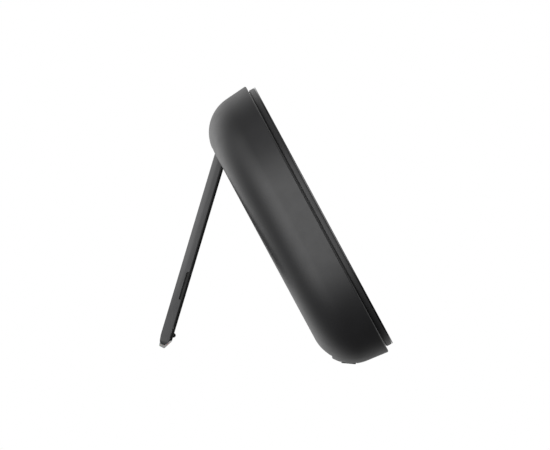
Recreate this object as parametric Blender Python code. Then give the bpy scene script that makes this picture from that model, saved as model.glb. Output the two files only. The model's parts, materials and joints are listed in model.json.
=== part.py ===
"""A square smart display with rounded sides, standing on a fold-out kickstand.

The display is modelled in its own frame: X across, Y from the glass into the depth, Z up the
face, with the origin at the middle of the glass. The kickstand is modelled in a second frame on
its hinge axis, where Z runs up along the leg and Y points out of its outer face.
All sizes below are millimetres.
"""

import math

import bmesh
import bpy

MM = 0.001

# Outline and depth of the display
HEIGHT = 120.0
SQUIRCLE_POWER = 3.0
OUTLINE_STEPS = 56
PANEL_HALF = 57.85
GLASS_DEPTH = 0.6
GLASS_CHAMFER = 0.15
GLASS_BOND = 0.1
PANEL_DEPTH = 2.8
RIM_DEPTH = 3.12
RIM_ROUND = 0.6
FRAME_STEP = 1.35
FRAME_INNER = 4.85
FRAME_BACK = 5.6
CORNER_RADIUS = 15.9
CORNER_DEPTH = 10.75
CORNER_INSET = 16.7
WALL = 1.8
BACK_DEPTH = CORNER_DEPTH + CORNER_RADIUS
# The side wall leans in from the rim by this angle, and runs into the rear corner without a crease
WALL_DROP = CORNER_DEPTH - RIM_DEPTH - RIM_ROUND
DRAFT = math.acos(CORNER_RADIUS / math.hypot(CORNER_INSET, WALL_DROP)) - math.atan2(WALL_DROP, CORNER_INSET)

# Kickstand
OPEN_ANGLE = math.radians(45.0)
LEG_THICKNESS = 5.0
LEG_HALF = LEG_THICKNESS / 2
LEG_HALF_WIDTH = 23.0
LEG_LENGTH = 81.15
LEG_CORNER = 3.0
TIP_OUTER = 80.75
TIP_FACE = 1.85
TIP_LEVEL = -0.4
SLOPE_START = 76.0
BEVEL_START = 77.6
FOOT_THICKNESS = 1.2
FOOT_BEVEL_THICKNESS = 0.62
FOOT_FACET = 0.2
FOOT_GAP = 0.12
PLATE_FACE = -1.5
PLATE_GAP = 0.05
PLATE_START = 3.6
PLATE_END = 77.1
TRAY_START = 6.0
TRAY_END = 72.1
TRAY_HALF_WIDTH = 21.2
TRAY_FLOOR = 1.2
BUMPER_AT = 75.15
BUMPER_WIDTH = 1.6
BUMPER_PROUD = 0.87
BUMPER_SEAT = (10.2, 0.95, -1.3)
WINDOW = (49.4, 60.65)
WINDOW_TOP = -0.34
LEG_MAGNET_AT = 65.3
BARREL_END = 3.4
CORE_START = 6.4
CORE_END = 71.7
CORE_HALF_WIDTH = 20.8
CORE_FACES = (0.2, 1.05)
TAB_ACROSS = (21.4, 22.7)
TAB_GAP = 0.15
PIVOT_UP = 41.19
PIVOT_DEPTH = BACK_DEPTH - LEG_HALF

# Recess that takes the folded kickstand
RECESS_HALF_WIDTH = 23.6
RECESS_FLOOR = 21.3
RECESS_TOP = 44.1
RECESS_END = -41.0
SCOOP_END = -51.7
SCOOP_SAG = 0.7
TUB_FLOOR = 19.3
TUB_TOP = 46.0
TUB_END = -54.0
TUB_HALF_WIDTH = 25.4

# Groove in the recess floor for the kickstand's rubber bumper
GROOVE_HALF_WIDTH = 11.0
GROOVE_HALF_HEIGHT = 1.3
GROOVE_FLOOR = 20.2

# Hinge
PIN_RADIUS = 1.0
PIN_INNER = 14.8
PIN_OUTER = 29.0
BUSH_RADIUS = 1.6
BUSH_GAP = 0.04
PIN_GAP = 0.15
PIN_HOLE = (23.0, 29.4)
WASHER_ACROSS = (23.15, 23.45)
BUSH_ACROSS = (15.0, 22.95)

# Rest pad under the lower edge, and the pocket that it sits in
PAD_HALF_WIDTH = 11.0
PAD_HALF_LENGTH = 2.9
PAD_INNER = 14.85
PAD_PROUD = 0.1
PAD_CHAMFER = 0.3
POCKET_GAP = 0.3
POCKET_INNER = 14.7

# Fasteners, as (x, z) in the display frame
CHASSIS_SCREWS = [(sx * 44.0, sz * 26.0) for sx in (-1, 1) for sz in (-1, 1)]
BOARD_SCREWS = [(sx * 36.0, sz * 30.0) for sx in (-1, 1) for sz in (-1, 1)]
USB_SCREW = (28.4, -33.0)
RETAINER_SCREW = (34.5, PIVOT_UP)
# Screw posts, as (radius, inner end, outer end, hole radius)
CHASSIS_POST = (3.0, 7.4, 25.0, 1.1)
USB_POST = (2.0, 18.9, 25.2, 0.75)
RETAINER_POST = (2.0, 19.9, 24.8, 0.75)
POST_HOLE_LENGTH = 7.5
POST_END_WALL = 1.2

# Screen, frame plate, board and battery, as (width, height) and depths
LCD_SIZE = (77.0, 79.0)
LCD_DEPTHS = (0.8, 2.2)
BACKLIGHT_SIZE = (78.0, 80.0)
BACKLIGHT_DEPTHS = (2.35, 3.6, 3.9)
SENSOR_SIZE = (4.4, 3.0)
SENSOR_UP = 46.5
MID_FRAME_HALF = 54.0
MID_FRAME_DEPTHS = (5.9, 7.1)
BOARD_SIZE = (80.0, 68.0)
BOARD_DEPTHS = (9.0, 10.2)

# Sound, port and buttons
SPEAKER_X = 34.5
SPEAKER_SIZE = (14.4, 30.0)
USB_AT = (33.2, -27.5)
USB_SIZE = (9.0, 3.2)
USB_GAP = 0.6
MIC_X = 10.0
MIC_DEPTH = 9.4
MIC_RADIUS = 0.6
GRILLE_ROWS = 8
GRILLE_PITCH = 3.4
GRILLE_SLOT = (10.0, 1.3)
BUTTON_DEPTH = 8.8
BUTTON_INNER = 56.0
BUTTON_FACE = 59.6
BUTTON_SIZE = (3.0, 8.0)
BUTTON_FLANGE = (0.8, 1.6)
BUTTON_GAP = 0.3
BUTTONS = {"power": 12.5, "volume_up": 1.0, "volume_down": -9.0}

MATERIALS = {
    "housing_plastic": ((0.030, 0.030, 0.032), 0.50, 0.0),
    "frame_plastic": ((0.018, 0.018, 0.019), 0.42, 0.0),
    "screen_glass": ((0.006, 0.006, 0.007), 0.06, 0.0),
    "leg_plastic": ((0.055, 0.055, 0.058), 0.48, 0.0),
    "black_plastic": ((0.012, 0.012, 0.012), 0.45, 0.0),
    "foot_silicone": ((0.42, 0.42, 0.41), 0.55, 0.0),
    "black_rubber": ((0.010, 0.010, 0.010), 0.75, 0.0),
    "steel": ((0.55, 0.55, 0.56), 0.32, 1.0),
    "aluminium": ((0.70, 0.70, 0.71), 0.38, 1.0),
    "magnet": ((0.62, 0.62, 0.64), 0.22, 1.0),
    "board": ((0.020, 0.110, 0.050), 0.45, 0.0),
    "lcd": ((0.050, 0.055, 0.070), 0.20, 0.0),
    "battery_wrap": ((0.075, 0.085, 0.110), 0.40, 0.0),
    "cone_paper": ((0.035, 0.035, 0.035), 0.80, 0.0),
    "bush_plastic": ((0.60, 0.58, 0.50), 0.40, 0.0),
    "flex": ((0.45, 0.20, 0.04), 0.40, 0.0),
}


# Placing -------------------------------------------------------------------------------------

def lean_angle():
    """The lean from upright at which the rest pad and the open leg's foot share one plane."""
    tip_depth = PIVOT_DEPTH + LEG_LENGTH * math.sin(OPEN_ANGLE) + TIP_LEVEL * math.cos(OPEN_ANGLE)
    tip_up = PIVOT_UP - LEG_LENGTH * math.cos(OPEN_ANGLE) + TIP_LEVEL * math.sin(OPEN_ANGLE)
    across = tip_depth - CORNER_DEPTH
    rise = tip_up + HEIGHT / 2 - CORNER_INSET
    reach = CORNER_RADIUS + PAD_PROUD + FOOT_FACET
    return math.atan2(rise, across) + math.asin(reach / math.hypot(across, rise))


LEAN = lean_angle()
LEG_LEAN = OPEN_ANGLE - LEAN


def clear_scene():
    for old in list(bpy.data.objects):
        bpy.data.objects.remove(old, do_unlink=True)


def add_empty(name, parent, place, turn):
    empty = bpy.data.objects.new(name, None)
    bpy.context.scene.collection.objects.link(empty)
    empty.parent = parent
    empty.location = [value * MM for value in place]
    empty.rotation_euler = turn
    return empty


def get_material(name):
    found = bpy.data.materials.get(name)
    if found:
        return found
    colour, roughness, metallic = MATERIALS[name]
    made = bpy.data.materials.new(name)
    made.use_nodes = True
    shader = made.node_tree.nodes["Principled BSDF"]
    shader.inputs["Base Color"].default_value = (*colour, 1.0)
    shader.inputs["Roughness"].default_value = roughness
    shader.inputs["Metallic"].default_value = metallic
    made.diffuse_color = (*colour, 1.0)
    return made


def add_solid(name, shape, parent, material=None, place=(0, 0, 0), turn=(0, 0, 0)):
    """One closed solid from (points, faces) in millimetres; without a material it is a cutter."""
    points, faces = shape
    mesh = bpy.data.meshes.new(name)
    mesh.from_pydata([[value * MM for value in point] for point in points], [], faces)
    work = bmesh.new()
    work.from_mesh(mesh)
    bmesh.ops.recalc_face_normals(work, faces=work.faces)
    work.to_mesh(mesh)
    work.free()
    mesh.shade_smooth()
    mesh.set_sharp_from_angle(angle=math.radians(32))
    solid = bpy.data.objects.new(name, mesh)
    bpy.context.scene.collection.objects.link(solid)
    solid.parent = parent
    solid.location = [value * MM for value in place]
    solid.rotation_euler = turn
    if material:
        mesh.materials.append(get_material(material))
    else:
        solid.hide_render = True
        solid.display_type = "WIRE"
    return solid


def boolean(target, other, operation):
    step = target.modifiers.new(other.name, "BOOLEAN")
    step.operation = operation
    step.solver = "EXACT"
    step.object = other


def cut(target, cutter):
    boolean(target, cutter, "DIFFERENCE")


def join(target, addition):
    boolean(target, addition, "UNION")


# Outlines and solids ---------------------------------------------------------------------------

def squircle(half, inset=0.0, steps=OUTLINE_STEPS):
    """The curve |x|^p + |z|^p = half^p, moved inwards along its own normals by inset."""
    points = []
    for index in range(steps):
        angle = 2 * math.pi * index / steps
        cos, sin = math.cos(angle), math.sin(angle)
        reach = half / (abs(cos) ** SQUIRCLE_POWER + abs(sin) ** SQUIRCLE_POWER) ** (1 / SQUIRCLE_POWER)
        slope_x = math.copysign(abs(cos) ** (SQUIRCLE_POWER - 1), cos)
        slope_z = math.copysign(abs(sin) ** (SQUIRCLE_POWER - 1), sin)
        length = math.hypot(slope_x, slope_z)
        points.append((reach * cos - inset * slope_x / length, reach * sin - inset * slope_z / length))
    return points


def rounded_box(width, height, radius, steps=3):
    """A rectangle with round corners, about the origin; equal to a stadium at half the width."""
    points = []
    for quarter, (side, end) in enumerate([(1, 1), (-1, 1), (-1, -1), (1, -1)]):
        for index in range(steps + 1):
            angle = math.pi / 2 * (quarter + index / steps)
            points.append((
                side * (width / 2 - radius) + radius * math.cos(angle),
                end * (height / 2 - radius) + radius * math.sin(angle),
            ))
    return points


def stadium(width, height, steps=4):
    """A slot with two half-round ends along its longer side."""
    short = min(width, height) / 2
    return rounded_box(width, height, short - 0.001, steps)


def circle(radius, steps=12):
    turns = [2 * math.pi * index / steps for index in range(steps)]
    return [(radius * math.cos(turn), radius * math.sin(turn)) for turn in turns]


def loft(rings, closed=False):
    """A solid through rings of equally many points; closed joins the last ring to the first."""
    count = len(rings[0])
    points = [point for ring in rings for point in ring]
    spans = len(rings) if closed else len(rings) - 1
    faces = []
    for ring in range(spans):
        low = ring * count
        high = (ring + 1) % len(rings) * count
        for index in range(count):
            after = (index + 1) % count
            faces.append((low + index, low + after, high + after, high + index))
    if not closed:
        faces.append(tuple(range(count)))
        faces.append(tuple(range(len(points) - count, len(points))))
    return points, faces


def stack(levels, centre=(0, 0)):
    """A loft along Y through (outline, depth) pairs, each outline in X and Z."""
    return loft([[(x + centre[0], depth, z + centre[1]) for x, z in outline] for outline, depth in levels])


def slab(outline, low, high, centre=(0, 0)):
    return stack([(outline, low), (outline, high)], centre)


def bar(outline, low, high):
    """A prism along X whose outline is given in Y and Z."""
    return loft([[(x, y, z) for y, z in outline] for x in (low, high)])


def box(low, high):
    outline = [(low[1], low[2]), (high[1], low[2]), (high[1], high[2]), (low[1], high[2])]
    return bar(outline, low[0], high[0])


def rod(radius, low, high, centre=(0, 0), steps=12):
    """A cylinder along X about (y, z)."""
    return bar([(y + centre[0], z + centre[1]) for y, z in circle(radius, steps)], low, high)


def tube(outer, inner, low, high, steps=12):
    """A tube along X about the origin."""
    rings = []
    for radius, x in ((outer, low), (outer, high), (inner, high), (inner, low)):
        rings.append([(x, y, z) for y, z in circle(radius, steps)])
    return loft(rings, closed=True)


def tray(outer, inner, low, high, floor, centre=(0, 0)):
    """A solid from low to high along Y with a hollow from high down to floor."""
    return stack([(outer, low), (outer, high), (inner, high), (inner, floor)], centre)


def meet(start, along, other, direction):
    """Where two lines in a plane cross."""
    cross = along[0] * direction[1] - along[1] * direction[0]
    gap = (other[0] - start[0], other[1] - start[1])
    share = (gap[0] * direction[1] - gap[1] * direction[0]) / cross
    return (start[0] + share * along[0], start[1] + share * along[1])


# Housing ---------------------------------------------------------------------------------------

def corner_levels(radius, inset, steps):
    """(inset, depth) along the rear corner's arc, from the leaning side wall to the back."""
    levels = []
    for index in range(steps + 1):
        angle = DRAFT + (math.pi / 2 - DRAFT) * index / steps
        levels.append((inset - radius * math.cos(angle), CORNER_DEPTH + radius * math.sin(angle)))
    return levels


def housing_body():
    levels = []
    for index in range(3):
        angle = math.pi / 2 * index / 2
        inset = RIM_ROUND * (1 - math.sin(angle))
        levels.append((inset, RIM_DEPTH + RIM_ROUND * (1 - math.cos(angle))))
    levels += corner_levels(CORNER_RADIUS, CORNER_INSET, 7)
    return stack([(squircle(HEIGHT / 2, inset), depth) for inset, depth in levels])


def housing_hollow():
    levels = [(3.1, 2.0), (3.1, 6.0), (2.2, 6.8)]
    levels += corner_levels(CORNER_RADIUS - WALL, CORNER_INSET, 4)
    return stack([(squircle(HEIGHT / 2, inset), depth) for inset, depth in levels])


def scoop_profile():
    """The recess in Y and Z: a flat floor, then a finger scoop rising to the outer surface."""
    centre_up = -HEIGHT / 2 + CORNER_INSET
    exit_depth = CORNER_DEPTH + math.sqrt(CORNER_RADIUS ** 2 - (SCOOP_END - centre_up) ** 2)
    outside = BACK_DEPTH + 5.0
    points = [(outside, RECESS_TOP), (RECESS_FLOOR, RECESS_TOP)]
    steps = 6
    for index in range(steps + 1):
        share = index / steps
        sag = SCOOP_SAG * math.sin(math.pi * share)
        depth = RECESS_FLOOR + (exit_depth - RECESS_FLOOR) * share - sag
        points.append((depth, RECESS_END + (SCOOP_END - RECESS_END) * share))
    out = ((exit_depth - CORNER_DEPTH) / CORNER_RADIUS, (SCOOP_END - centre_up) / CORNER_RADIUS)
    points.append((exit_depth + 5.0 * out[0], SCOOP_END + 5.0 * out[1]))
    points.append((outside, SCOOP_END + 5.0 * out[1]))
    return points


def pad_frame(along, down):
    """(y, z) of a point given along the ground and down to it from the lower corner's centre."""
    centre_up = -HEIGHT / 2 + CORNER_INSET
    return (
        CORNER_DEPTH + along * math.cos(LEAN) + down * math.sin(LEAN),
        centre_up + along * math.sin(LEAN) - down * math.cos(LEAN),
    )


def make_housing(display):
    housing = add_solid("rear_housing", housing_body(), display, "housing_plastic")
    hollow = add_solid("cut_hollow", housing_hollow(), display)
    tub = box((-TUB_HALF_WIDTH, TUB_FLOOR, TUB_END), (TUB_HALF_WIDTH, BACK_DEPTH + 3, TUB_TOP))
    cut(hollow, add_solid("keep_tub", tub, display))
    cut(housing, hollow)
    recess = bar(scoop_profile(), -RECESS_HALF_WIDTH, RECESS_HALF_WIDTH)
    cut(housing, add_solid("cut_recess", recess, display))
    bumper_up = PIVOT_UP - BUMPER_AT
    low = (-GROOVE_HALF_WIDTH, GROOVE_FLOOR, bumper_up - GROOVE_HALF_HEIGHT)
    high = (GROOVE_HALF_WIDTH, RECESS_FLOOR + 1, bumper_up + GROOVE_HALF_HEIGHT)
    cut(housing, add_solid("cut_bumper_groove", box(low, high), display))
    for side in (-1, 1):
        hole = rod(PIN_RADIUS + PIN_GAP, *sorted(side * x for x in PIN_HOLE), (PIVOT_DEPTH, PIVOT_UP))
        cut(housing, add_solid("cut_pin_%d" % side, hole, display))
        centre = (side * RETAINER_SCREW[0], RETAINER_SCREW[1])
        add_boss(housing, "retainer_%d" % side, display, centre, *RETAINER_POST)
        make_grille(housing, display, side)
    for number, centre in enumerate(CHASSIS_SCREWS):
        add_boss(housing, "chassis_%d" % number, display, centre, *CHASSIS_POST)
    add_boss(housing, "usb", display, USB_SCREW, *USB_POST)
    port = slab(stadium(USB_SIZE[0] + USB_GAP, USB_SIZE[1] + USB_GAP), 22.0, 30.0, USB_AT)
    cut(housing, add_solid("cut_usb", port, display))
    for side in (-1, 1):
        rings = []
        for z in (54.0, 62.0):
            rings.append([(side * MIC_X + x, MIC_DEPTH + y, z) for x, y in circle(MIC_RADIUS, 10)])
        mic = loft(rings)
        cut(housing, add_solid("cut_mic_%d" % side, mic, display))
    for name, up in BUTTONS.items():
        outline = stadium(BUTTON_SIZE[0] + BUTTON_GAP, BUTTON_SIZE[1] + BUTTON_GAP)
        slot = bar([(BUTTON_DEPTH + y, up + z) for y, z in outline], 54.0, 64.0)
        cut(housing, add_solid("cut_" + name, slot, display))
    reach = PAD_HALF_LENGTH + POCKET_GAP
    width = PAD_HALF_WIDTH + POCKET_GAP
    outside = CORNER_RADIUS + 2.0
    outline = [(-reach, POCKET_INNER), (reach, POCKET_INNER), (reach, outside), (-reach, outside)]
    pocket = bar([pad_frame(*point) for point in outline], -width, width)
    cut(housing, add_solid("cut_pad_pocket", pocket, display))


def add_boss(housing, name, display, centre, radius, low, high, hole):
    """A round post on the inside of the back with a blind screw hole."""
    post = slab(circle(radius, 10), low, high, centre)
    join(housing, add_solid("boss_" + name, post, display))
    blind = min(low + POST_HOLE_LENGTH, high - POST_END_WALL)
    cut(housing, add_solid("cut_boss_" + name, slab(circle(hole, 8), low - 1, blind, centre), display))


def make_grille(housing, display, side):
    for row in range(GRILLE_ROWS):
        up = (row - (GRILLE_ROWS - 1) / 2) * GRILLE_PITCH
        slot = slab(stadium(*GRILLE_SLOT, 2), BACK_DEPTH - 4, BACK_DEPTH + 2, (side * SPEAKER_X, up))
        cut(housing, add_solid("cut_grille_%d_%d" % (side, row), slot, display))


def make_pad(display):
    bottom = CORNER_RADIUS + PAD_PROUD
    side = bottom - PAD_CHAMFER
    reach = PAD_HALF_LENGTH
    foot = reach - 2 * PAD_CHAMFER
    profile = [(-reach, PAD_INNER), (reach, PAD_INNER), (reach, side)]
    profile += [(foot, bottom), (-foot, bottom), (-reach, side)]
    shape = bar([pad_frame(*point) for point in profile], -PAD_HALF_WIDTH, PAD_HALF_WIDTH)
    add_solid("rest_pad", shape, display, "black_rubber")


# Screen side -----------------------------------------------------------------------------------

def make_glass(display):
    outline = squircle(PANEL_HALF)
    edge = squircle(PANEL_HALF, GLASS_CHAMFER)
    shape = stack([(edge, 0.0), (outline, GLASS_CHAMFER), (outline, GLASS_DEPTH)])
    add_solid("cover_glass", shape, display, "screen_glass")


def make_front_frame(display):
    profile = [
        (0.0, GLASS_DEPTH + GLASS_BOND),
        (0.0, PANEL_DEPTH),
        (FRAME_STEP, PANEL_DEPTH),
        (FRAME_STEP, FRAME_BACK),
        (FRAME_INNER, FRAME_BACK),
        (FRAME_INNER, GLASS_DEPTH + GLASS_BOND),
    ]
    rings = []
    for inset, depth in profile:
        rings.append([(x, depth, z) for x, z in squircle(PANEL_HALF, inset)])
    add_solid("front_frame", loft(rings, closed=True), display, "frame_plastic")


def make_screen(display):
    panel = slab(rounded_box(*LCD_SIZE, 1.5), *LCD_DEPTHS)
    add_solid("lcd_panel", panel, display, "lcd")
    backlight = stack([
        (rounded_box(*BACKLIGHT_SIZE, 2.0), BACKLIGHT_DEPTHS[0]),
        (rounded_box(*BACKLIGHT_SIZE, 2.0), BACKLIGHT_DEPTHS[1]),
        (rounded_box(BACKLIGHT_SIZE[0] - 6.0, BACKLIGHT_SIZE[1] - 6.0, 2.0), BACKLIGHT_DEPTHS[2]),
    ])
    add_solid("backlight", backlight, display, "aluminium")
    outline = rounded_box(*SENSOR_SIZE, 0.6)
    sensor = stack([(outline, 0.8), (outline, 1.8)], (0, SENSOR_UP))
    add_solid("light_sensor", sensor, display, "black_plastic")


def make_mid_frame(display):
    frame = add_solid("mid_frame", slab(squircle(MID_FRAME_HALF), *MID_FRAME_DEPTHS), display, "aluminium")
    for number, centre in enumerate(CHASSIS_SCREWS):
        hole = slab(circle(1.3, 8), 5.0, 8.0, centre)
        cut(frame, add_solid("cut_frame_%d" % number, hole, display))
    for number, centre in enumerate(BOARD_SCREWS):
        join(frame, add_solid("post_%d" % number, slab(circle(1.9, 10), 6.5, 8.8, centre), display))
        cut(frame, add_solid("cut_post_%d" % number, slab(circle(0.85, 8), 5.0, 9.5, centre), display))
    slot = slab(rounded_box(15.0, 3.0, 1.0), 5.0, 8.0, (0, -43.0))
    cut(frame, add_solid("cut_cable_slot", slot, display))


# Electronics -----------------------------------------------------------------------------------

def make_board(display):
    board = add_solid("main_board", slab(rounded_box(*BOARD_SIZE, 2.0), *BOARD_DEPTHS), display, "board")
    for number, centre in enumerate(BOARD_SCREWS):
        cut(board, add_solid("cut_board_%d" % number, slab(circle(1.1, 8), 8.0, 11.0, centre), display))
    shield = stack([
        (rounded_box(30.0, 24.0, 1.0), 10.3),
        (rounded_box(30.0, 24.0, 1.0), 12.1),
        (rounded_box(29.2, 23.2, 0.8), 12.4),
    ], (-9.0, 12.0))
    add_solid("shield_can", shield, display, "steel")
    antenna = slab(rounded_box(34.0, 6.0, 1.0), 7.25, 7.65, (0, 45.0))
    add_solid("antenna", antenna, display, "flex")


def make_battery(display):
    cell = rounded_box(44.0, 56.0, 3.0)
    inner = rounded_box(42.6, 54.6, 2.3)
    shape = stack([(inner, 12.9), (cell, 13.6), (cell, 18.2), (inner, 18.9)], (0, 8.0))
    add_solid("battery_pack", shape, display, "battery_wrap")
    magnet = slab(rounded_box(12.0, 4.0, 0.5), 17.6, 19.1, (0, PIVOT_UP - LEG_MAGNET_AT))
    add_solid("catch_magnet", magnet, display, "magnet")


def make_cable(display):
    """The display's flat cable: a thin strip folded through the slot in the chassis plate."""
    front = [(4.25, -34.0), (4.25, -42.2), (4.9, -42.85), (7.9, -42.85), (8.45, -42.2), (8.45, -31.0)]
    back = [(4.50, -34.0), (4.50, -42.1), (5.0, -42.6), (7.8, -42.6), (8.2, -42.1), (8.2, -31.0)]
    shape = bar(front + back[::-1], -6.0, 6.0)
    add_solid("display_cable", shape, display, "flex")


def make_battery_lead(display):
    curve = bpy.data.curves.new("battery_lead", "CURVE")
    curve.dimensions = "3D"
    curve.bevel_depth = 0.7 * MM
    curve.bevel_resolution = 2
    curve.use_fill_caps = True
    line = curve.splines.new("POLY")
    steps = 10
    line.points.add(steps)
    for index in range(steps + 1):
        angle = math.pi / 2 * index / steps
        place = (15.0, 11.4 + 4.0 * math.cos(angle), -20.6 - 4.0 * math.sin(angle))
        line.points[index].co = (*[value * MM for value in place], 1.0)
    lead = bpy.data.objects.new("battery_lead", curve)
    bpy.context.scene.collection.objects.link(lead)
    lead.parent = display
    curve.materials.append(get_material("black_rubber"))


def make_speakers(display):
    width, length = SPEAKER_SIZE
    for side, name in ((-1, "left"), (1, "right")):
        centre = (side * SPEAKER_X, 0)
        basket = tray(stadium(width, length), stadium(width - 2, length - 2), 14.0, 24.3, 21.8, centre)
        add_solid("speaker_basket_" + name, basket, display, "black_plastic")
        cone = stack([
            (stadium(width - 2.6, length - 2.6), 22.1),
            (stadium(width - 2.6, length - 2.6), 22.6),
            (stadium(width - 4.2, length - 4.2), 23.3),
            (stadium(width - 7.0, length - 7.0), 22.7),
            (stadium(width - 9.0, length - 9.0), 23.2),
            (stadium(width - 11.5, length - 11.5), 23.5),
        ], centre)
        add_solid("speaker_cone_" + name, cone, display, "cone_paper")


def make_usb(display):
    board = add_solid("usb_board", slab(rounded_box(14.6, 14.0, 1.0), 17.6, 18.8, USB_AT), display, "board")
    cut(board, add_solid("cut_usb_board", slab(circle(1.0, 8), 17.0, 19.5, USB_SCREW), display))
    width, height = USB_SIZE
    shell = tray(stadium(width, height), stadium(width - 0.7, height - 0.7), 18.9, 26.3, 20.5, USB_AT)
    port = add_solid("usb_port", shell, display, "steel")
    tongue = slab(rounded_box(6.6, 0.7, 0.2, 1), 20.0, 25.4, USB_AT)
    join(port, add_solid("usb_tongue", tongue, display))


def make_mic_board(display):
    board = [(7.4, 55.5), (11.4, 55.5), (11.4, 56.4), (7.4, 56.4)]
    add_solid("mic_board", bar(board, -14.0, 14.0), display, "board")


def make_buttons(display):
    add_solid("button_board", box((52.6, 7.5, -14.5), (53.6, 11.5, 18.0)), display, "board")
    width, length = BUTTON_SIZE
    for name, up in BUTTONS.items():
        base = [(53.7, 3.4, 3.4), (54.9, 3.4, 3.4), (54.9, 1.4, 1.4), (55.4, 1.4, 1.4)]
        rings = []
        for x, deep, tall in base:
            outline = rounded_box(deep, tall, 0.4, 2)
            rings.append([(x, BUTTON_DEPTH + y, up + z) for y, z in outline])
        add_solid("switch_" + name, loft(rings), display, "black_plastic")
        thick, proud = BUTTON_FLANGE
        height = BUTTON_FACE - BUTTON_INNER
        rings = []
        for x, grow in ((0.0, proud), (thick, proud), (thick, 0.0), (height - 0.4, 0.0), (height, -0.5)):
            outline = stadium(width + grow, length + grow)
            rings.append([(x, y, z) for y, z in outline])
        place = (BUTTON_INNER, BUTTON_DEPTH, up)
        add_solid(name + "_button", loft(rings), display, "black_plastic", place)


# Fasteners -------------------------------------------------------------------------------------

def screw_shape(head_radius, head_height, shank_radius, shank_length):
    """A pan-head screw with a hexagonal socket, its shank along +Y from the head's underside."""
    steps = 8
    levels = [
        (head_radius * 0.45, -head_height * 0.45),
        (head_radius * 0.45, -head_height),
        (head_radius * 0.85, -head_height),
        (head_radius, -head_height * 0.7),
        (head_radius, 0.0),
        (shank_radius, 0.0),
        (shank_radius, shank_length - shank_radius),
        (shank_radius * 0.4, shank_length),
    ]
    return stack([(circle(radius, steps), depth) for radius, depth in levels])


def make_screws(display):
    chassis = screw_shape(2.0, 1.2, 0.95, 7.6)
    for number, (x, z) in enumerate(CHASSIS_SCREWS):
        add_solid("chassis_screw_%d" % (number + 1), chassis, display, "steel", (x, 5.75, z))
    small = screw_shape(1.6, 1.0, 0.65, 3.0)
    turn = (math.pi, 0, 0)
    for number, (x, z) in enumerate(BOARD_SCREWS):
        add_solid("board_screw_%d" % (number + 1), small, display, "steel", (x, 10.35, z), turn)
    place = (USB_SCREW[0], 17.45, USB_SCREW[1])
    add_solid("usb_screw", screw_shape(1.6, 1.0, 0.6, 5.0), display, "steel", place)


# Hinge -----------------------------------------------------------------------------------------

def make_hinge(display, leg):
    for side, name in ((-1, "left"), (1, "right")):
        low, high = sorted((side * PIN_INNER, side * PIN_OUTER))
        pin = rod(PIN_RADIUS, low, high)
        place = (0, PIVOT_DEPTH, PIVOT_UP)
        add_solid("hinge_pin_" + name, pin, display, "steel", place)
        low, high = sorted(side * x for x in WASHER_ACROSS)
        add_solid("hinge_washer_" + name, tube(2.1, 1.12, low, high), display, "steel", place)
        low, high = sorted(side * x for x in BUSH_ACROSS)
        add_solid("hinge_bush_" + name, tube(BUSH_RADIUS, 1.06, low, high), leg, "bush_plastic")
        make_retainer(display, side, name)


def make_retainer(display, side, name):
    """A folded steel strap screwed over the outer end of a hinge pin."""
    outline = [(29.3, 19.0), (37.2, 19.0), (37.2, 19.8), (30.1, 19.8), (30.1, 23.8), (29.3, 23.8)]
    rings = [[(side * x, y, z) for x, y in outline] for z in (PIVOT_UP - 2.4, PIVOT_UP + 2.4)]
    strap = add_solid("pin_retainer_" + name, loft(rings), display, "steel")
    centre = (side * RETAINER_SCREW[0], RETAINER_SCREW[1])
    hole = slab(circle(0.95, 8), 18.0, 20.5, centre)
    cut(strap, add_solid("cut_retainer_" + name, hole, display))
    shape = screw_shape(1.5, 0.9, 0.6, 3.6)
    add_solid("retainer_screw_" + name, shape, display, "steel", (centre[0], 18.85, centre[1]))


# Kickstand, given as (s, w): s down the leg from the hinge axis, w out of its outer face --------

def leg_bar(outline, low, high):
    return bar([(out, -down) for down, out in outline], low, high)


def leg_box(low, high):
    """A box between two corners given as (x, s, w)."""
    outline = [(low[1], low[2]), (high[1], low[2]), (high[1], high[2]), (low[1], high[2])]
    return leg_bar(outline, low[0], high[0])


def tip_lines(end_gap, bevel_gap):
    """The leg's end face and its bevel, moved inwards: a point and a direction for each."""
    end_length = math.hypot(LEG_LENGTH - TIP_OUTER, TIP_FACE - TIP_LEVEL)
    end_along = ((TIP_OUTER - LEG_LENGTH) / end_length, (TIP_FACE - TIP_LEVEL) / end_length)
    bevel_length = math.hypot(LEG_LENGTH - BEVEL_START, LEG_HALF + TIP_LEVEL)
    bevel_along = ((BEVEL_START - LEG_LENGTH) / bevel_length, -(LEG_HALF + TIP_LEVEL) / bevel_length)
    end_start = (LEG_LENGTH - end_gap * end_along[1], TIP_LEVEL + end_gap * end_along[0])
    bevel_start = (LEG_LENGTH + bevel_gap * bevel_along[1], TIP_LEVEL - bevel_gap * bevel_along[0])
    return end_start, end_along, bevel_start, bevel_along


def tip_inner(end_gap, bevel_gap):
    """The moved tip: its point on the outer face, its corner, and its inner end."""
    end_start, end_along, bevel_start, bevel_along = tip_lines(end_gap, bevel_gap)
    slope = (TIP_OUTER - SLOPE_START, TIP_FACE - LEG_HALF)
    outer = meet(end_start, end_along, (SLOPE_START, LEG_HALF), slope)
    corner = meet(end_start, end_along, bevel_start, bevel_along)
    reach = math.hypot(LEG_LENGTH - BEVEL_START, LEG_HALF + TIP_LEVEL)
    inner = (bevel_start[0] + reach * bevel_along[0], bevel_start[1] + reach * bevel_along[1])
    return outer, corner, inner


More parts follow.
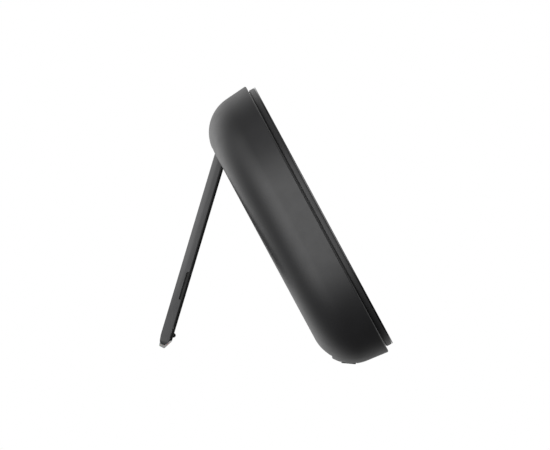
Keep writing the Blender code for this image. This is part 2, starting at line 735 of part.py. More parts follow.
def make_foot(leg, plan):
    """A silicone cap over the end face and the bevel, with a facet that lies on the ground."""
    end_start, end_along, bevel_start, bevel_along = tip_lines(0.0, 0.0)
    ground_along = (math.sin(LEG_LEAN), math.cos(LEG_LEAN))
    facet_along = FOOT_FACET * math.cos(LEG_LEAN)
    facet_across = FOOT_FACET * math.sin(LEG_LEAN)
    ground_point = (LEG_LENGTH - facet_along, TIP_LEVEL + facet_across)
    outer, corner, inner = tip_inner(FOOT_THICKNESS, FOOT_BEVEL_THICKNESS)
    outline = [
        (TIP_OUTER, TIP_FACE),
        meet(ground_point, ground_along, end_start, end_along),
        meet(ground_point, ground_along, bevel_start, bevel_along),
        (BEVEL_START, -LEG_HALF),
        inner,
        corner,
        outer,
    ]
    foot = add_solid("leg_foot", leg_bar(outline, -25.0, 25.0), leg, "foot_silicone")
    boolean(foot, plan, "INTERSECT")


def make_leg_shell(leg, plan):
    """The leg's body: a round barrel on the hinge axis, then a flat bar with an open tray inside."""
    outer, corner, _ = tip_inner(FOOT_THICKNESS + FOOT_GAP, FOOT_BEVEL_THICKNESS + FOOT_GAP)
    outline = [on_bevel(PLATE_FACE), corner, outer, (SLOPE_START, LEG_HALF)]
    steps = 8
    start = math.pi / 2
    finish = 3 * math.pi / 2
    for index in range(steps + 1):
        angle = start + (finish - start) * index / steps
        outline.append((LEG_HALF * math.cos(angle), LEG_HALF * math.sin(angle)))
    outline += [(BARREL_END, -LEG_HALF), (BARREL_END, PLATE_FACE)]
    shell = add_solid("leg_shell", leg_bar(outline, -25.0, 25.0), leg, "leg_plastic")
    boolean(shell, plan, "INTERSECT")
    tray = leg_box((-TRAY_HALF_WIDTH, TRAY_START, -4.0), (TRAY_HALF_WIDTH, TRAY_END, TRAY_FLOOR))
    cut(shell, add_solid("cut_leg_tray", tray, leg))
    for side in (-1, 1):
        low, high = sorted((side * 20.0, side * 24.0))
        window = leg_box((low, WINDOW[0], -4.0), (high, WINDOW[1], WINDOW_TOP))
        cut(shell, add_solid("cut_window_%d" % side, window, leg))
        low, high = sorted((side * 14.0, side * 24.0))
        cut(shell, add_solid("cut_bore_%d" % side, rod(BUSH_RADIUS + BUSH_GAP, low, high), leg))
    cut(shell, bumper_seat("cut_bumper_seat", leg))


def on_bevel(level):
    """The point at one level on the bevel where it meets the foot's inner side."""
    _, _, bevel_start, bevel_along = tip_lines(0.0, FOOT_BEVEL_THICKNESS + FOOT_GAP)
    return meet(bevel_start, bevel_along, (0, level), (1, 0))


def bumper_seat(name, leg):
    half, reach, floor = BUMPER_SEAT
    return add_solid(name, leg_box((-half, BUMPER_AT - reach, -4.0), (half, BUMPER_AT + reach, floor)), leg)


def make_leg_plate(leg):
    """The thin cover of the tray, ending on a slant beside the foot, with a slot for the bumper."""
    top = PLATE_FACE - PLATE_GAP
    slant = on_bevel(top)
    _, _, bevel_start, bevel_along = tip_lines(0.0, FOOT_BEVEL_THICKNESS + FOOT_GAP)
    toe = meet(bevel_start, bevel_along, (PLATE_END, 0), (0, 1))
    outline = [(PLATE_START, -LEG_HALF), (PLATE_END, -LEG_HALF), toe, slant, (PLATE_START, top)]
    half = LEG_HALF_WIDTH - 0.1
    plate = add_solid("leg_plate", leg_bar(outline, -half, half), leg, "black_plastic")
    cut(plate, bumper_seat("cut_bumper_slot", leg))
    for side in (-1, 1):
        low, high = sorted(side * x for x in TAB_ACROSS)
        tab = leg_box((low, WINDOW[0] + TAB_GAP, -2.0), (high, WINDOW[1] - TAB_GAP, WINDOW_TOP - TAB_GAP))
        join(plate, add_solid("tab_%d" % side, tab, leg))


def make_leg(leg):
    """The leg's pieces. Its plan's lower end is the leg's tip, with rounded corners there."""
    above = LEG_HALF + LEG_CORNER
    outline = rounded_box(2 * LEG_HALF_WIDTH, LEG_LENGTH + above, LEG_CORNER)
    plan = add_solid("keep_leg_plan", slab(outline, -6.0, 6.0, (0, (above - LEG_LENGTH) / 2)), leg)
    make_leg_shell(leg, plan)
    make_foot(leg, plan)
    make_leg_plate(leg)
    low = (-CORE_HALF_WIDTH, CORE_START, CORE_FACES[0])
    high = (CORE_HALF_WIDTH, CORE_END, CORE_FACES[1])
    add_solid("leg_core", leg_box(low, high), leg, "steel")
    magnet = leg_box((-6.0, LEG_MAGNET_AT - 2.0, -1.35), (6.0, LEG_MAGNET_AT + 2.0, 0.0))
    add_solid("leg_magnet", magnet, leg, "magnet")
    rings = []
    tip = -LEG_HALF - BUMPER_PROUD
    for grow, out in ((0.0, -1.45), (0.0, tip + 0.5), (-0.25, tip + 0.15), (-0.7, tip)):
        outline = stadium(20.0 + grow, BUMPER_WIDTH + grow)
        rings.append([(x, out, -BUMPER_AT + z) for x, z in outline])
    add_solid("leg_bumper", loft(rings), leg, "black_rubber")


# Assembly --------------------------------------------------------------------------------------

def settle(display):
    """Moves the display's frame so that it stands on z = 0 with its box centred on the Z axis."""
    bpy.context.view_layer.update()
    places = []
    for name in ("cover_glass", "leg_foot"):
        piece = bpy.data.objects[name]
        evaluated = piece.evaluated_get(bpy.context.evaluated_depsgraph_get())
        places += [evaluated.matrix_world @ vertex.co for vertex in evaluated.data.vertices]
    middle = (min(place.y for place in places) + max(place.y for place in places)) / 2
    centre_up = -HEIGHT / 2 + CORNER_INSET
    lowest = centre_up * math.cos(LEAN) - CORNER_DEPTH * math.sin(LEAN) - CORNER_RADIUS - PAD_PROUD
    display.location = (0, -middle, -lowest * MM)
    bpy.context.view_layer.update()


def main():
    clear_scene()
    display = add_empty("display_frame", None, (0, 0, 0), (-LEAN, 0, 0))
    leg = add_empty("kickstand_axis", display, (0, PIVOT_DEPTH, PIVOT_UP), (OPEN_ANGLE, 0, 0))
    make_housing(display)
    make_pad(display)
    make_glass(display)
    make_front_frame(display)
    make_screen(display)
    make_mid_frame(display)
    make_board(display)
    make_battery(display)
    make_battery_lead(display)
    make_cable(display)
    make_speakers(display)
    make_usb(display)
    make_mic_board(display)
    make_buttons(display)
    make_screws(display)
    make_hinge(display, leg)
    make_leg(leg)
    settle(display)


main()
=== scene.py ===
"""The looks of a square smart display with rounded sides on a fold-out kickstand.

Pieces of the display are shaped in its own frame: X across, Y from the glass into the depth, Z up
the face, with the origin at the middle of the glass. Pieces of the kickstand are shaped in a frame
on its hinge axis: Z runs up along the leg and Y points out of its outer face. Shapes are in
millimetres, objects in metres.
"""

import json
import math

import bmesh
import bpy
import numpy as np
from mathutils import Matrix, Vector


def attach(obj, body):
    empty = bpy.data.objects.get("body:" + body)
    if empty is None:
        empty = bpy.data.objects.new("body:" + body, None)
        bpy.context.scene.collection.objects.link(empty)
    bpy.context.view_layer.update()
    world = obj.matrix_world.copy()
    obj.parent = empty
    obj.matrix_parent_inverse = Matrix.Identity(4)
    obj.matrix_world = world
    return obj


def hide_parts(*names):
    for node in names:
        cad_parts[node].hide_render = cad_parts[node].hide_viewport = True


MM = 0.001

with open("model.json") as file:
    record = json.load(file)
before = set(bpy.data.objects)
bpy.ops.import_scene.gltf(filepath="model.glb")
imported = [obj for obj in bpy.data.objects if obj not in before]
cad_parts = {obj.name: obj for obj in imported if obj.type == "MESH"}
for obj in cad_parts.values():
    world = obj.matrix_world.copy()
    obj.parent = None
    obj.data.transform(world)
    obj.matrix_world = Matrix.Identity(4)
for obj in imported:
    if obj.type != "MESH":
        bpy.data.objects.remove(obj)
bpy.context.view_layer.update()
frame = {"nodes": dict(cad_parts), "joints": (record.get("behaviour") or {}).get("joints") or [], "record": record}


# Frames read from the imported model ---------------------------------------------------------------

def find_joint(name):
    return next(joint for joint in frame["joints"] if joint["name"] == name)


def find_mount(name):
    return next(mount for mount in frame["record"]["mounts"] if mount["name"] == name)


SCREEN = find_mount("screen_face")
FOLD = find_joint("kickstand_fold")
LEAN = math.atan2(SCREEN["axis"][2], -SCREEN["axis"][1])
OPEN_ANGLE = math.radians(-FOLD["range_deg"][0])
DISPLAY = Matrix.Translation(SCREEN["pos_m"]) @ Matrix.Rotation(-LEAN, 4, "X")
LEG = Matrix.Translation(FOLD["pos_m"]) @ Matrix.Rotation(OPEN_ANGLE - LEAN, 4, "X")


def local_box(node, place):
    """Lowest and highest corners of a CAD node in one of the two frames, in millimetres."""
    turn = place.inverted()
    points = [turn @ vertex.co / MM for vertex in frame["nodes"][node].data.vertices]
    low = Vector([min(point[axis] for point in points) for axis in range(3)])
    high = Vector([max(point[axis] for point in points) for axis in range(3)])
    return low, high


HOUSING = local_box("rear_housing", DISPLAY)
GLASS = local_box("cover_glass", DISPLAY)
FRAME = local_box("front_frame", DISPLAY)
SHELL = local_box("leg_shell", LEG)
PLATE = local_box("leg_plate", LEG)
BUMPER = local_box("leg_bumper", LEG)
PIVOT = DISPLAY.inverted() @ Vector(FOLD["pos_m"]) / MM

# Display
POWER = 3.0
HALF = HOUSING[1].x
BACK = HOUSING[1].y
RIM = HOUSING[0].y
CORNER_RADIUS = 15.9
CORNER_INSET = 16.7
CORNER_DEPTH = BACK - CORNER_RADIUS
RIM_ROUND = 0.6
WALL_START = RIM + RIM_ROUND
WALL = 1.8
# The side wall leans in by the angle at which it runs smoothly into the round corner
DRAFT = math.acos(CORNER_RADIUS / math.hypot(CORNER_INSET, CORNER_DEPTH - WALL_START))
DRAFT -= math.atan2(CORNER_DEPTH - WALL_START, CORNER_INSET)
PANEL_HALF = GLASS[1].x

# Front frame and cover glass; a pair of rounds is (front, back), and GLASS_ROUND (inset, depth)
FLANGE_BACK = 2.8
FLANGE_ROUNDS = (0.2, 0.25)
GROOVE_DEPTH = 0.35
FRAME_STEP = 1.35
FRAME_INNER = 4.85
FRAME_LEDGE = 0.5
FRAME_BEVEL = 0.3
RIM_GAP = 0.02
GLASS_ROUND = (0.16, 0.14)
GLASS_BEVEL = 0.08

# Kickstand recess, and the tub that closes it off inside the housing
RECESS_HALF = 23.6
RECESS_FLOOR = 21.3
RECESS_TOP = 44.1
RECESS_END = -41.0
SCOOP_END = -51.7
SCOOP_SAG = 0.7
RECESS_CORNER = 1.5
RECESS_FOOT = 0.6
SCOOP_CORNER = 2.0
EDGE_CHAMFER = 0.35
TUB_FLOOR = 19.3
TUB_HALF = 25.4
TUB_ENDS = (-54.0, 45.0)

# Openings in the housing; a size is (width, height), and a span is (nearer end, farther end)
GRILLE_ROWS = 8
GRILLE_PITCH = 3.4
GRILLE_SLOT = (10.0, 1.3)
GRILLE_CHAMFER = 0.22
PORT_HOLE = (9.6, 3.8)
PORT_CHAMFER = 0.35
BUTTON_SIZE = (3.0, 8.0)
BUTTON_GAP = 0.3
MIC_PLACE = (10.0, 9.4)
MIC_RADIUS = 0.6
MIC_SPAN = (54.0, 62.0)
PIN_HOLE = 1.15
PIN_SPAN = (23.0, 29.4)
BUMPER_GROOVE = (22.0, 2.6)
GROOVE_FLOOR = 20.2
PAD_SIZE = (22.0, 5.8)
PAD_INNER = 14.85
PAD_PROUD = 0.1
POCKET_GAP = 0.3
POCKET_SPAN = (14.7, 18.0)

# Screw posts, as (radius, inner end, outer end), and the places of each kind
CHASSIS_POST = (3.0, 7.4, 25.0)
CHASSIS_PLACES = [(x, z) for x in (-44, 44) for z in (-26, 26)]
RETAINER_POST = (2.0, 19.9, 24.8)
RETAINER_PLACES = [(x, PIVOT.z) for x in (-34.5, 34.5)]
PORT_POST = (2.0, 18.9, 24.8)
PORT_POST_PLACE = (28.4, -33.0)
POST_HOLE_LENGTH = 7.5
POST_HOLE_END = 24.0

# Kickstand
LEG_HALF = SHELL[1].y
LEG_WIDTH = SHELL[1].x
TIP_OUTER = 80.75
TIP_FACE = 1.85
TIP_LENGTH = 81.15
TIP_LEVEL = -0.4
TIP_CORNER = 3.6
SLOPE_START = 76.0
BEVEL_START = 77.6
PLATE_FACE = -1.5
BARREL_END = 3.4
PLATE_START = 3.6
PLATE_TOE = -2.05
BUMPER_AT = 75.08
BUMPER_SLOT = (20.3, 2.0)
BUMPER_FLOOR = -1.3
TRAY_HALF = 21.2
TRAY_FLOOR = 1.2
TRAY_SPAN = (6.0, 72.1)
BUSH_BORE = 1.64
BUSH_SPAN = (14.0, 24.0)
WINDOW = (49.4, 60.65)
WINDOW_TOP = -0.34
CROWNED_EDGE = (1.5, 2.4)
FINE_EDGE = (0.5, 0.5)
CROWN_FADE = (42.0, 67.0)
INNER_EDGE = (0.3, 0.3)
SEAM_EDGE = (0.2, 0.35)
FOOT_END = 1.0
FOOT_BEVEL = 0.46
TIP_ROUND = (1.5, 0.8)


# Meshes ------------------------------------------------------------------------------------------

def outline_table(count):
    """Points and outward normals of the unit squircle, evenly spaced along its length."""
    dense = 20000
    angle = np.linspace(0, 2 * np.pi, dense, endpoint=False)
    cos, sin = np.cos(angle), np.sin(angle)
    reach = (np.abs(cos) ** POWER + np.abs(sin) ** POWER) ** (-1 / POWER)
    points = np.stack([reach * cos, reach * sin], 1)
    steps = np.linalg.norm(np.roll(points, -1, 0) - points, axis=1)
    length = np.concatenate([[0], np.cumsum(steps)])
    wanted = np.arange(count) / count * length[-1]
    index = np.searchsorted(length, wanted, side="left") % dense
    chosen = points[index]
    slope = np.sign(chosen) * np.abs(chosen) ** (POWER - 1)
    return chosen, slope / np.linalg.norm(slope, axis=1)[:, None]


FINE = outline_table(288)
COARSE = outline_table(96)
LOOKUP = outline_table(4000)


def squircle(half, inset=0.0, table=FINE):
    points, normals = table
    return [tuple(point) for point in points * half - normals * inset]


def foot_of(places):
    """For (x, z) places, the inset from the housing's outline and the outline's normal there."""
    base = LOOKUP[0] * HALF
    insets, normals = [], []
    for chunk in np.array_split(np.asarray(places, float), max(1, len(places) // 2000)):
        gap = np.linalg.norm(chunk[:, None] - base[None], axis=2)
        nearest = gap.argmin(1)
        normal = LOOKUP[1][nearest]
        insets.append(((base[nearest] - chunk) * normal).sum(1))
        normals.append(normal)
    return np.concatenate(insets), np.concatenate(normals)


def back_depth(x, z):
    """Depth of the housing's outer surface behind a place on the face."""
    inset = foot_of([(x, z)])[0][0]
    short = max(0.0, CORNER_INSET - inset)
    return CORNER_DEPTH + math.sqrt(max(0.0, CORNER_RADIUS ** 2 - short ** 2))


def rounded_box(width, height, radius, steps=6):
    points = []
    for quarter, (side, end) in enumerate([(1, 1), (-1, 1), (-1, -1), (1, -1)]):
        for index in range(steps + 1):
            angle = math.pi / 2 * (quarter + index / steps)
            points.append((
                side * (width / 2 - radius) + radius * math.cos(angle),
                end * (height / 2 - radius) + radius * math.sin(angle),
            ))
    return points


def stadium(width, height, steps=8):
    return rounded_box(width, height, min(width, height) / 2 - 0.001, steps)


def circle(radius, steps=24):
    turns = [2 * math.pi * index / steps for index in range(steps)]
    return [(radius * math.cos(turn), radius * math.sin(turn)) for turn in turns]


def loft(rings, closed=False):
    count = len(rings[0])
    points = [point for ring in rings for point in ring]
    faces = []
    for ring in range(len(rings) if closed else len(rings) - 1):
        low = ring * count
        high = (ring + 1) % len(rings) * count
        for index in range(count):
            after = (index + 1) % count
            faces.append((low + index, low + after, high + after, high + index))
    if not closed:
        faces.append(tuple(range(count)))
        faces.append(tuple(range(len(points) - count, len(points))))
    return points, faces


def stack(levels, centre=(0, 0)):
    """A loft along Y through (outline, depth) pairs, each outline in X and Z."""
    return loft([[(x + centre[0], depth, z + centre[1]) for x, z in outline] for outline, depth in levels])


def bar(outline, low, high):
    """A prism along X whose outline is given in Y and Z."""
    return loft([[(x, y, z) for y, z in outline] for x in (low, high)])


def box(low, high):
    outline = [(low[1], low[2]), (high[1], low[2]), (high[1], high[2]), (low[1], high[2])]
    return bar(outline, low[0], high[0])


def merge(shapes):
    points, faces = [], []
    for shape_points, shape_faces in shapes:
        start = len(points)
        points += shape_points
        faces += [tuple(start + index for index in face) for face in shape_faces]
    return points, faces


def arc(centre, radius, start, finish, steps):
    """Points on an arc in a plane, its angles in degrees."""
    points = []
    for index in range(steps + 1):
        angle = math.radians(start + (finish - start) * index / steps)
        points.append((centre[0] + radius * math.cos(angle), centre[1] + radius * math.sin(angle)))
    return points


def new_object(name, shape, place):
    points, faces = shape
    mesh = bpy.data.meshes.new(name)
    mesh.from_pydata([[value * MM for value in point] for point in points], [], faces)
    work = bmesh.new()
    work.from_mesh(mesh)
    bmesh.ops.recalc_face_normals(work, faces=work.faces)
    work.to_mesh(mesh)
    work.free()
    made = bpy.data.objects.new(name, mesh)
    bpy.context.scene.collection.objects.link(made)
    made.matrix_world = place
    return made


def combine(target, shape, operation="DIFFERENCE"):
    """Cuts, keeps or joins a shape, applies the result and removes the helper."""
    helper = new_object("helper", shape, target.matrix_world.copy())
    step = target.modifiers.new("boolean", "BOOLEAN")
    step.operation = operation
    step.solver = "EXACT"
    step.object = helper
    apply_modifiers(target)
    bpy.data.objects.remove(helper, do_unlink=True)


def apply_modifiers(target):
    bpy.context.view_layer.update()
    evaluated = target.evaluated_get(bpy.context.evaluated_depsgraph_get())
    mesh = bpy.data.meshes.new_from_object(evaluated)
    target.modifiers.clear()
    old = target.data
    target.data = mesh
    bpy.data.meshes.remove(old)
    mesh.name = target.name


def smooth(target, angle=35):
    target.data.shade_smooth()
    target.data.set_sharp_from_angle(angle=math.radians(angle))


def finish_piece(made, body, slot, *nodes, material=None):
    """Gives a piece its body and the material of its slot, and hides the CAD nodes that it stands for."""
    made.data.materials.clear()
    made.data.materials.append(material or SLOT_MATERIALS[slot])
    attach(made, body)
    if nodes:
        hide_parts(*nodes)


def piece(name, shape, place, body, slot, *nodes, angle=35, material=None):
    made = new_object(name, shape, place)
    smooth(made, angle)
    finish_piece(made, body, slot, *nodes, material=material)


# Materials ---------------------------------------------------------------------------------------

def math_node(tree, operation, first, second=None):
    """The output of a sum worked out in a node tree; each value is a socket or a number."""
    node = tree.nodes.new("ShaderNodeMath")
    node.operation = operation
    for socket, value in zip(node.inputs, (first, second)):
        if isinstance(value, float):
            socket.default_value = value
        elif value is not None:
            tree.links.new(value, socket)
    return node.outputs["Value"]


class Nodes:
    """A small builder for one material's node tree, with textures in the object's own metres."""

    def __init__(self, name):
        self.material = bpy.data.materials.new(name)
        self.material.use_nodes = True
        self.tree = self.material.node_tree
        self.shader = self.tree.nodes["Principled BSDF"]
        self.place = self.add("ShaderNodeTexCoord").outputs["Object"]

    def add(self, kind, **values):
        node = self.tree.nodes.new(kind)
        for key, value in values.items():
            setattr(node, key, value)
        return node

    def link(self, source, target):
        self.tree.links.new(source, target)

    def sum(self, operation, *values):
        return math_node(self.tree, operation, *values)

    def axes(self):
        node = self.add("ShaderNodeSeparateXYZ")
        self.link(self.place, node.inputs["Vector"])
        return node.outputs

    def set(self, **values):
        for key, value in values.items():
            self.shader.inputs[key.replace("_", " ")].default_value = value

    def noise(self, size_mm, detail=2.0, rough=0.5, stretch=(1, 1, 1)):
        """Noise from 0 to 1 whose lumps are about size_mm across."""
        source = self.place
        if stretch != (1, 1, 1):
            mapping = self.add("ShaderNodeMapping")
            mapping.inputs["Scale"].default_value = stretch
            self.link(source, mapping.inputs["Vector"])
            source = mapping.outputs["Vector"]
        node = self.add("ShaderNodeTexNoise")
        node.inputs["Scale"].default_value = 1 / (size_mm * MM)
        node.inputs["Detail"].default_value = detail
        node.inputs["Roughness"].default_value = rough
        self.link(source, node.inputs["Vector"])
        return node.outputs["Fac"]

    def span(self, source, low, high, start=0.3, end=0.7):
        """The source's range start to end, turned into low to high."""
        node = self.add("ShaderNodeMapRange")
        node.inputs["From Min"].default_value = start
        node.inputs["From Max"].default_value = end
        node.inputs["To Min"].default_value = low
        node.inputs["To Max"].default_value = high
        self.link(source, node.inputs["Value"])
        return node.outputs["Result"]

    def mix(self, share, first, second):
        """A colour between two, each a socket or an (r, g, b)."""
        node = self.add("ShaderNodeMix", data_type="RGBA")
        self.link(share, node.inputs["Factor"])
        for key, colour in (("A", first), ("B", second)):
            socket = next(s for s in node.inputs if s.name == key and s.type == "RGBA")
            if isinstance(colour, tuple):
                socket.default_value = (*colour, 1.0)
            else:
                self.link(colour, socket)
        return next(s for s in node.outputs if s.type == "RGBA")

    def bump(self, height, depth_mm, strength=1.0):
        node = self.add("ShaderNodeBump")
        node.inputs["Strength"].default_value = strength
        node.inputs["Distance"].default_value = depth_mm * MM
        self.link(height, node.inputs["Height"])
        self.link(node.outputs["Normal"], self.shader.inputs["Normal"])

    def colour(self, source):
        self.link(source, self.shader.inputs["Base Color"])

    def roughness(self, source):
        self.link(source, self.shader.inputs["Roughness"])


def shade(colour, factor):
    return tuple(value * factor for value in colour)


def moulded_plastic(name, colour, rough, grain_mm=0.22, depth_mm=0.006, specular=0.5):
    """Spark-eroded plastic: a fine grain, with faint cloudiness in colour and gloss."""
    nodes = Nodes(name)
    cloud = nodes.noise(14.0, 3.0)
    nodes.colour(nodes.mix(nodes.span(cloud, 0, 1), shade(colour, 0.93), shade(colour, 1.07)))
    nodes.roughness(nodes.span(nodes.noise(5.0, 4.0), rough - 0.025, rough + 0.025))
    nodes.bump(nodes.noise(grain_mm, 2.0, 0.6), depth_mm)
    nodes.set(Specular_IOR_Level=specular)
    return nodes.material


def leg_material():
    """The leg's plastic, with a painted highlight: its colour is paler along the crowned upper part of its long
    edges.
    """
    nodes = Nodes("matte_leg_painted_highlight")
    axes = nodes.axes()
    # Mask of the painted highlight along the crowned upper part of the long edges
    edge = nodes.span(nodes.sum("ABSOLUTE", axes["X"]), 0, 1, 0.0206, 0.0226)
    for axis, start, end in (("Y", 0.0003, 0.0020), ("Z", -0.066, -0.042)):
        edge = nodes.sum("MULTIPLY", edge, nodes.span(axes[axis], 0, 1, start, end))
    cloud = nodes.span(nodes.noise(14.0, 3.0), 0, 1)
    plain = nodes.mix(cloud, (0.0465, 0.0465, 0.048), (0.0535, 0.0535, 0.0555))
    # The paler colour is a painted highlight on the crowned edges, not the plastic's own tone
    nodes.colour(nodes.mix(edge, plain, (0.135, 0.135, 0.137)))
    nodes.roughness(nodes.span(nodes.noise(5.0, 4.0), 0.435, 0.485))
    nodes.bump(nodes.noise(0.22, 2.0, 0.6), 0.006)
    return nodes.material


def screen_material():
    """Back-printed glass: black ink at the border, and a slightly greyer switched-off panel."""
    nodes = Nodes("printed_glass")
    axes = nodes.axes()
    half = 36.0 * MM
    masks = []
    for axis in ("X", "Z"):
        size = nodes.sum("ABSOLUTE", axes[axis])
        masks.append(nodes.span(size, 1, 0, half - 0.0001, half + 0.0001))
    inside = nodes.sum("MULTIPLY", *masks)
    nodes.colour(nodes.mix(inside, (0.004, 0.004, 0.0045), (0.0105, 0.011, 0.0135)))
    smudge = nodes.noise(26.0, 5.0, 0.6)
    nodes.roughness(nodes.span(smudge, 0.045, 0.085, 0.42, 0.62))
    nodes.set(IOR=1.52, Coat_Weight=0.3, Coat_Roughness=0.03)
    return nodes.material


def silicone(name, colour):
    nodes = Nodes(name)
    cloud = nodes.span(nodes.noise(3.0, 3.0), 0, 1)
    nodes.colour(nodes.mix(cloud, shade(colour, 0.97), shade(colour, 1.03)))
    nodes.roughness(nodes.span(nodes.noise(1.2, 3.0), 0.38, 0.5))
    nodes.bump(nodes.noise(0.3, 2.0), 0.002)
    nodes.set(Subsurface_Weight=0.35, Subsurface_Scale=0.001, Transmission_Weight=0.06)
    return nodes.material


def rubber(name, colour):
    nodes = Nodes(name)
    nodes.colour(nodes.mix(nodes.span(nodes.noise(2.0, 4.0), 0, 1), shade(colour, 0.8), shade(colour, 1.3)))
    nodes.roughness(nodes.span(nodes.noise(0.8, 3.0), 0.62, 0.78))
    nodes.bump(nodes.noise(0.12, 3.0, 0.7), 0.01)
    return nodes.material


def brushed_metal(name, colour, rough, along=(0.06, 1, 1)):
    nodes = Nodes(name)
    lines = nodes.noise(0.12, 3.0, 0.6, along)
    nodes.colour(nodes.mix(nodes.span(lines, 0, 1), shade(colour, 0.86), shade(colour, 1.05)))
    nodes.roughness(nodes.span(lines, rough - 0.06, rough + 0.08))
    nodes.bump(lines, 0.003)
    nodes.set(Metallic=1.0)
    return nodes.material


def circuit_board():
    """Green solder mask over copper traces that run along X."""
    nodes = Nodes("circuit_board")
    traces = nodes.noise(2.4, 1.0, 0.4, (0.25, 1, 1))
    mask = nodes.span(traces, 0, 1, 0.49, 0.51)
    nodes.colour(nodes.mix(mask, (0.010, 0.070, 0.030), (0.020, 0.115, 0.050)))
    nodes.roughness(nodes.span(nodes.noise(1.0, 2.0), 0.3, 0.42))
    nodes.bump(mask, 0.02)
    return nodes.material


def foil(name, colour, rough):
    nodes = Nodes(name)
    creases = nodes.noise(4.0, 6.0, 0.65)
    nodes.colour(nodes.mix(nodes.span(creases, 0, 1), shade(colour, 0.85), shade(colour, 1.15)))
    nodes.roughness(nodes.span(creases, rough - 0.08, rough + 0.08))
    nodes.bump(creases, 0.08)
    return nodes.material


def woven_mesh(name, colour):
    """A dust mesh: crossed threads 0.4 mm apart, with painted shade in the gaps between them."""
    nodes = Nodes(name)
    axes = nodes.axes()
    pitch = 0.4 * MM
    waves = []
    for axis in ("X", "Z"):
        waves.append(nodes.sum("SINE", nodes.sum("MULTIPLY", axes[axis], 2 * math.pi / pitch)))
    height = nodes.span(nodes.sum("MAXIMUM", *waves), 0, 1, -1, 1)
    # Darker where the weave is low: painted shade between the threads
    nodes.colour(nodes.mix(height, shade(colour, 0.2), colour))
    nodes.roughness(nodes.span(height, 0.9, 0.6, 0, 1))
    nodes.bump(height, 0.08)
    return nodes.material


SLOT_MATERIALS = {
    "housing_plastic": moulded_plastic("matte_housing", (0.020, 0.020, 0.021), 0.38),
    "frame_plastic": moulded_plastic("matte_frame", (0.031, 0.031, 0.032), 0.38, 0.18, 0.004),
    "screen_glass": screen_material(),
    "leg_plastic": leg_material(),
    "black_plastic": moulded_plastic("matte_black", (0.008, 0.008, 0.008), 0.5, 0.18, 0.004, 0.35),
    "button_plastic": moulded_plastic("matte_button", (0.024, 0.024, 0.025), 0.40, 0.15, 0.003),
    "foot_silicone": silicone("clear_silicone", (0.41, 0.41, 0.405)),
    "black_rubber": rubber("dark_rubber", (0.011, 0.011, 0.011)),
    "steel": brushed_metal("plain_steel", (0.56, 0.56, 0.57), 0.3),
    "aluminium": brushed_metal("plain_aluminium", (0.72, 0.72, 0.73), 0.36),
    "magnet": brushed_metal("plated_magnet", (0.64, 0.64, 0.66), 0.2, (1, 1, 1)),
    "board": circuit_board(),
    "lcd": foil("lcd_stack", (0.05, 0.055, 0.07), 0.22),
    "battery_wrap": foil("wrap_foil", (0.075, 0.085, 0.11), 0.4),
    "cone_paper": rubber("pulp_cone", (0.035, 0.035, 0.035)),
    "bush_plastic": moulded_plastic("bush_acetal", (0.6, 0.58, 0.5), 0.4, 0.3, 0.003),
    "flex": foil("flex_film", (0.45, 0.2, 0.04), 0.36),
}
CONTACT_GOLD = brushed_metal("contact_gold", (0.83, 0.62, 0.28), 0.22, (1, 1, 1))
DUST_MESH = woven_mesh("dust_mesh", (0.03, 0.03, 0.03))


def dress_cad_nodes():
    """Every carried-over CAD node gets the procedural material of its slot."""
    slots = {part["node"]: part["material_slot"] for part in frame["record"]["subparts"]}
    for name, node in frame["nodes"].items():
        node.data.materials.clear()
        node.data.materials.append(SLOT_MATERIALS[slots[name]])


# Housing -----------------------------------------------------------------------------------------

def corner_levels(radius, steps):
    levels = []
    for index in range(steps + 1):
        angle = DRAFT + (math.pi / 2 - DRAFT) * index / steps
        levels.append((CORNER_INSET - radius * math.cos(angle), CORNER_DEPTH + radius * math.sin(angle)))
    return levels


def housing_body():
    levels = []
    for index in range(4):
        angle = math.pi / 2 * index / 4
        levels.append((RIM_ROUND * (1 - math.sin(angle)), RIM + RIM_ROUND * (1 - math.cos(angle))))
    levels.append((0.0, WALL_START))
    levels += corner_levels(CORNER_RADIUS, 26)
    return stack([(squircle(HALF, inset), depth) for inset, depth in levels])


def housing_hollow():
    levels = [(3.1, 2.0), (3.1, 6.0), (2.2, 6.8)]
    levels += corner_levels(CORNER_RADIUS - WALL, 8)
    return stack([(squircle(HALF, inset, COARSE), depth) for inset, depth in levels])


def recess_profile():
    """The recess in Y and Z: a flat floor with a rounded foot, then the finger scoop."""
    centre_up = CORNER_INSET - HALF
    exit_depth = CORNER_DEPTH + math.sqrt(CORNER_RADIUS ** 2 - (SCOOP_END - centre_up) ** 2)
    outside = BACK + 5.0
    points = [(outside, RECESS_TOP)]
    points += arc((RECESS_FLOOR + RECESS_FOOT, RECESS_TOP - RECESS_FOOT), RECESS_FOOT, 90, 180, 5)
    steps = 20
    for index in range(steps + 1):
        share = index / steps
        sag = SCOOP_SAG * math.sin(math.pi * share)
        depth = RECESS_FLOOR + (exit_depth - RECESS_FLOOR) * share - sag * (1 - 0.3 * share)
        points.append((depth, RECESS_END + (SCOOP_END - RECESS_END) * share))
    out = ((exit_depth - CORNER_DEPTH) / CORNER_RADIUS, (SCOOP_END - centre_up) / CORNER_RADIUS)
    points.append((exit_depth + 5.0 * out[0], SCOOP_END + 5.0 * out[1]))
    points.append((outside, SCOOP_END + 5.0 * out[1]))
    return points


def chamfer_ring(outline, size):
    """A run of sloping sections that takes the edge off a cut in the back.

    outline holds (x, z, out_x, out_z): a point on the cut's edge and the direction away from it.
    """
    rings = []
    slack = 0.06
    for x, z, out_x, out_z in outline:
        far = size + slack
        outer = (x + out_x * far, z + out_z * far)
        inner = (x - out_x * slack, z - out_z * slack)
        edge = back_depth(x, z)
        rings.append([
            (outer[0], back_depth(*outer) + slack, outer[1]),
            (inner[0], edge - size - slack, inner[1]),
            (inner[0], edge + 1.0, inner[1]),
            (outer[0], edge + 1.0, outer[1]),
        ])
    return loft(rings)


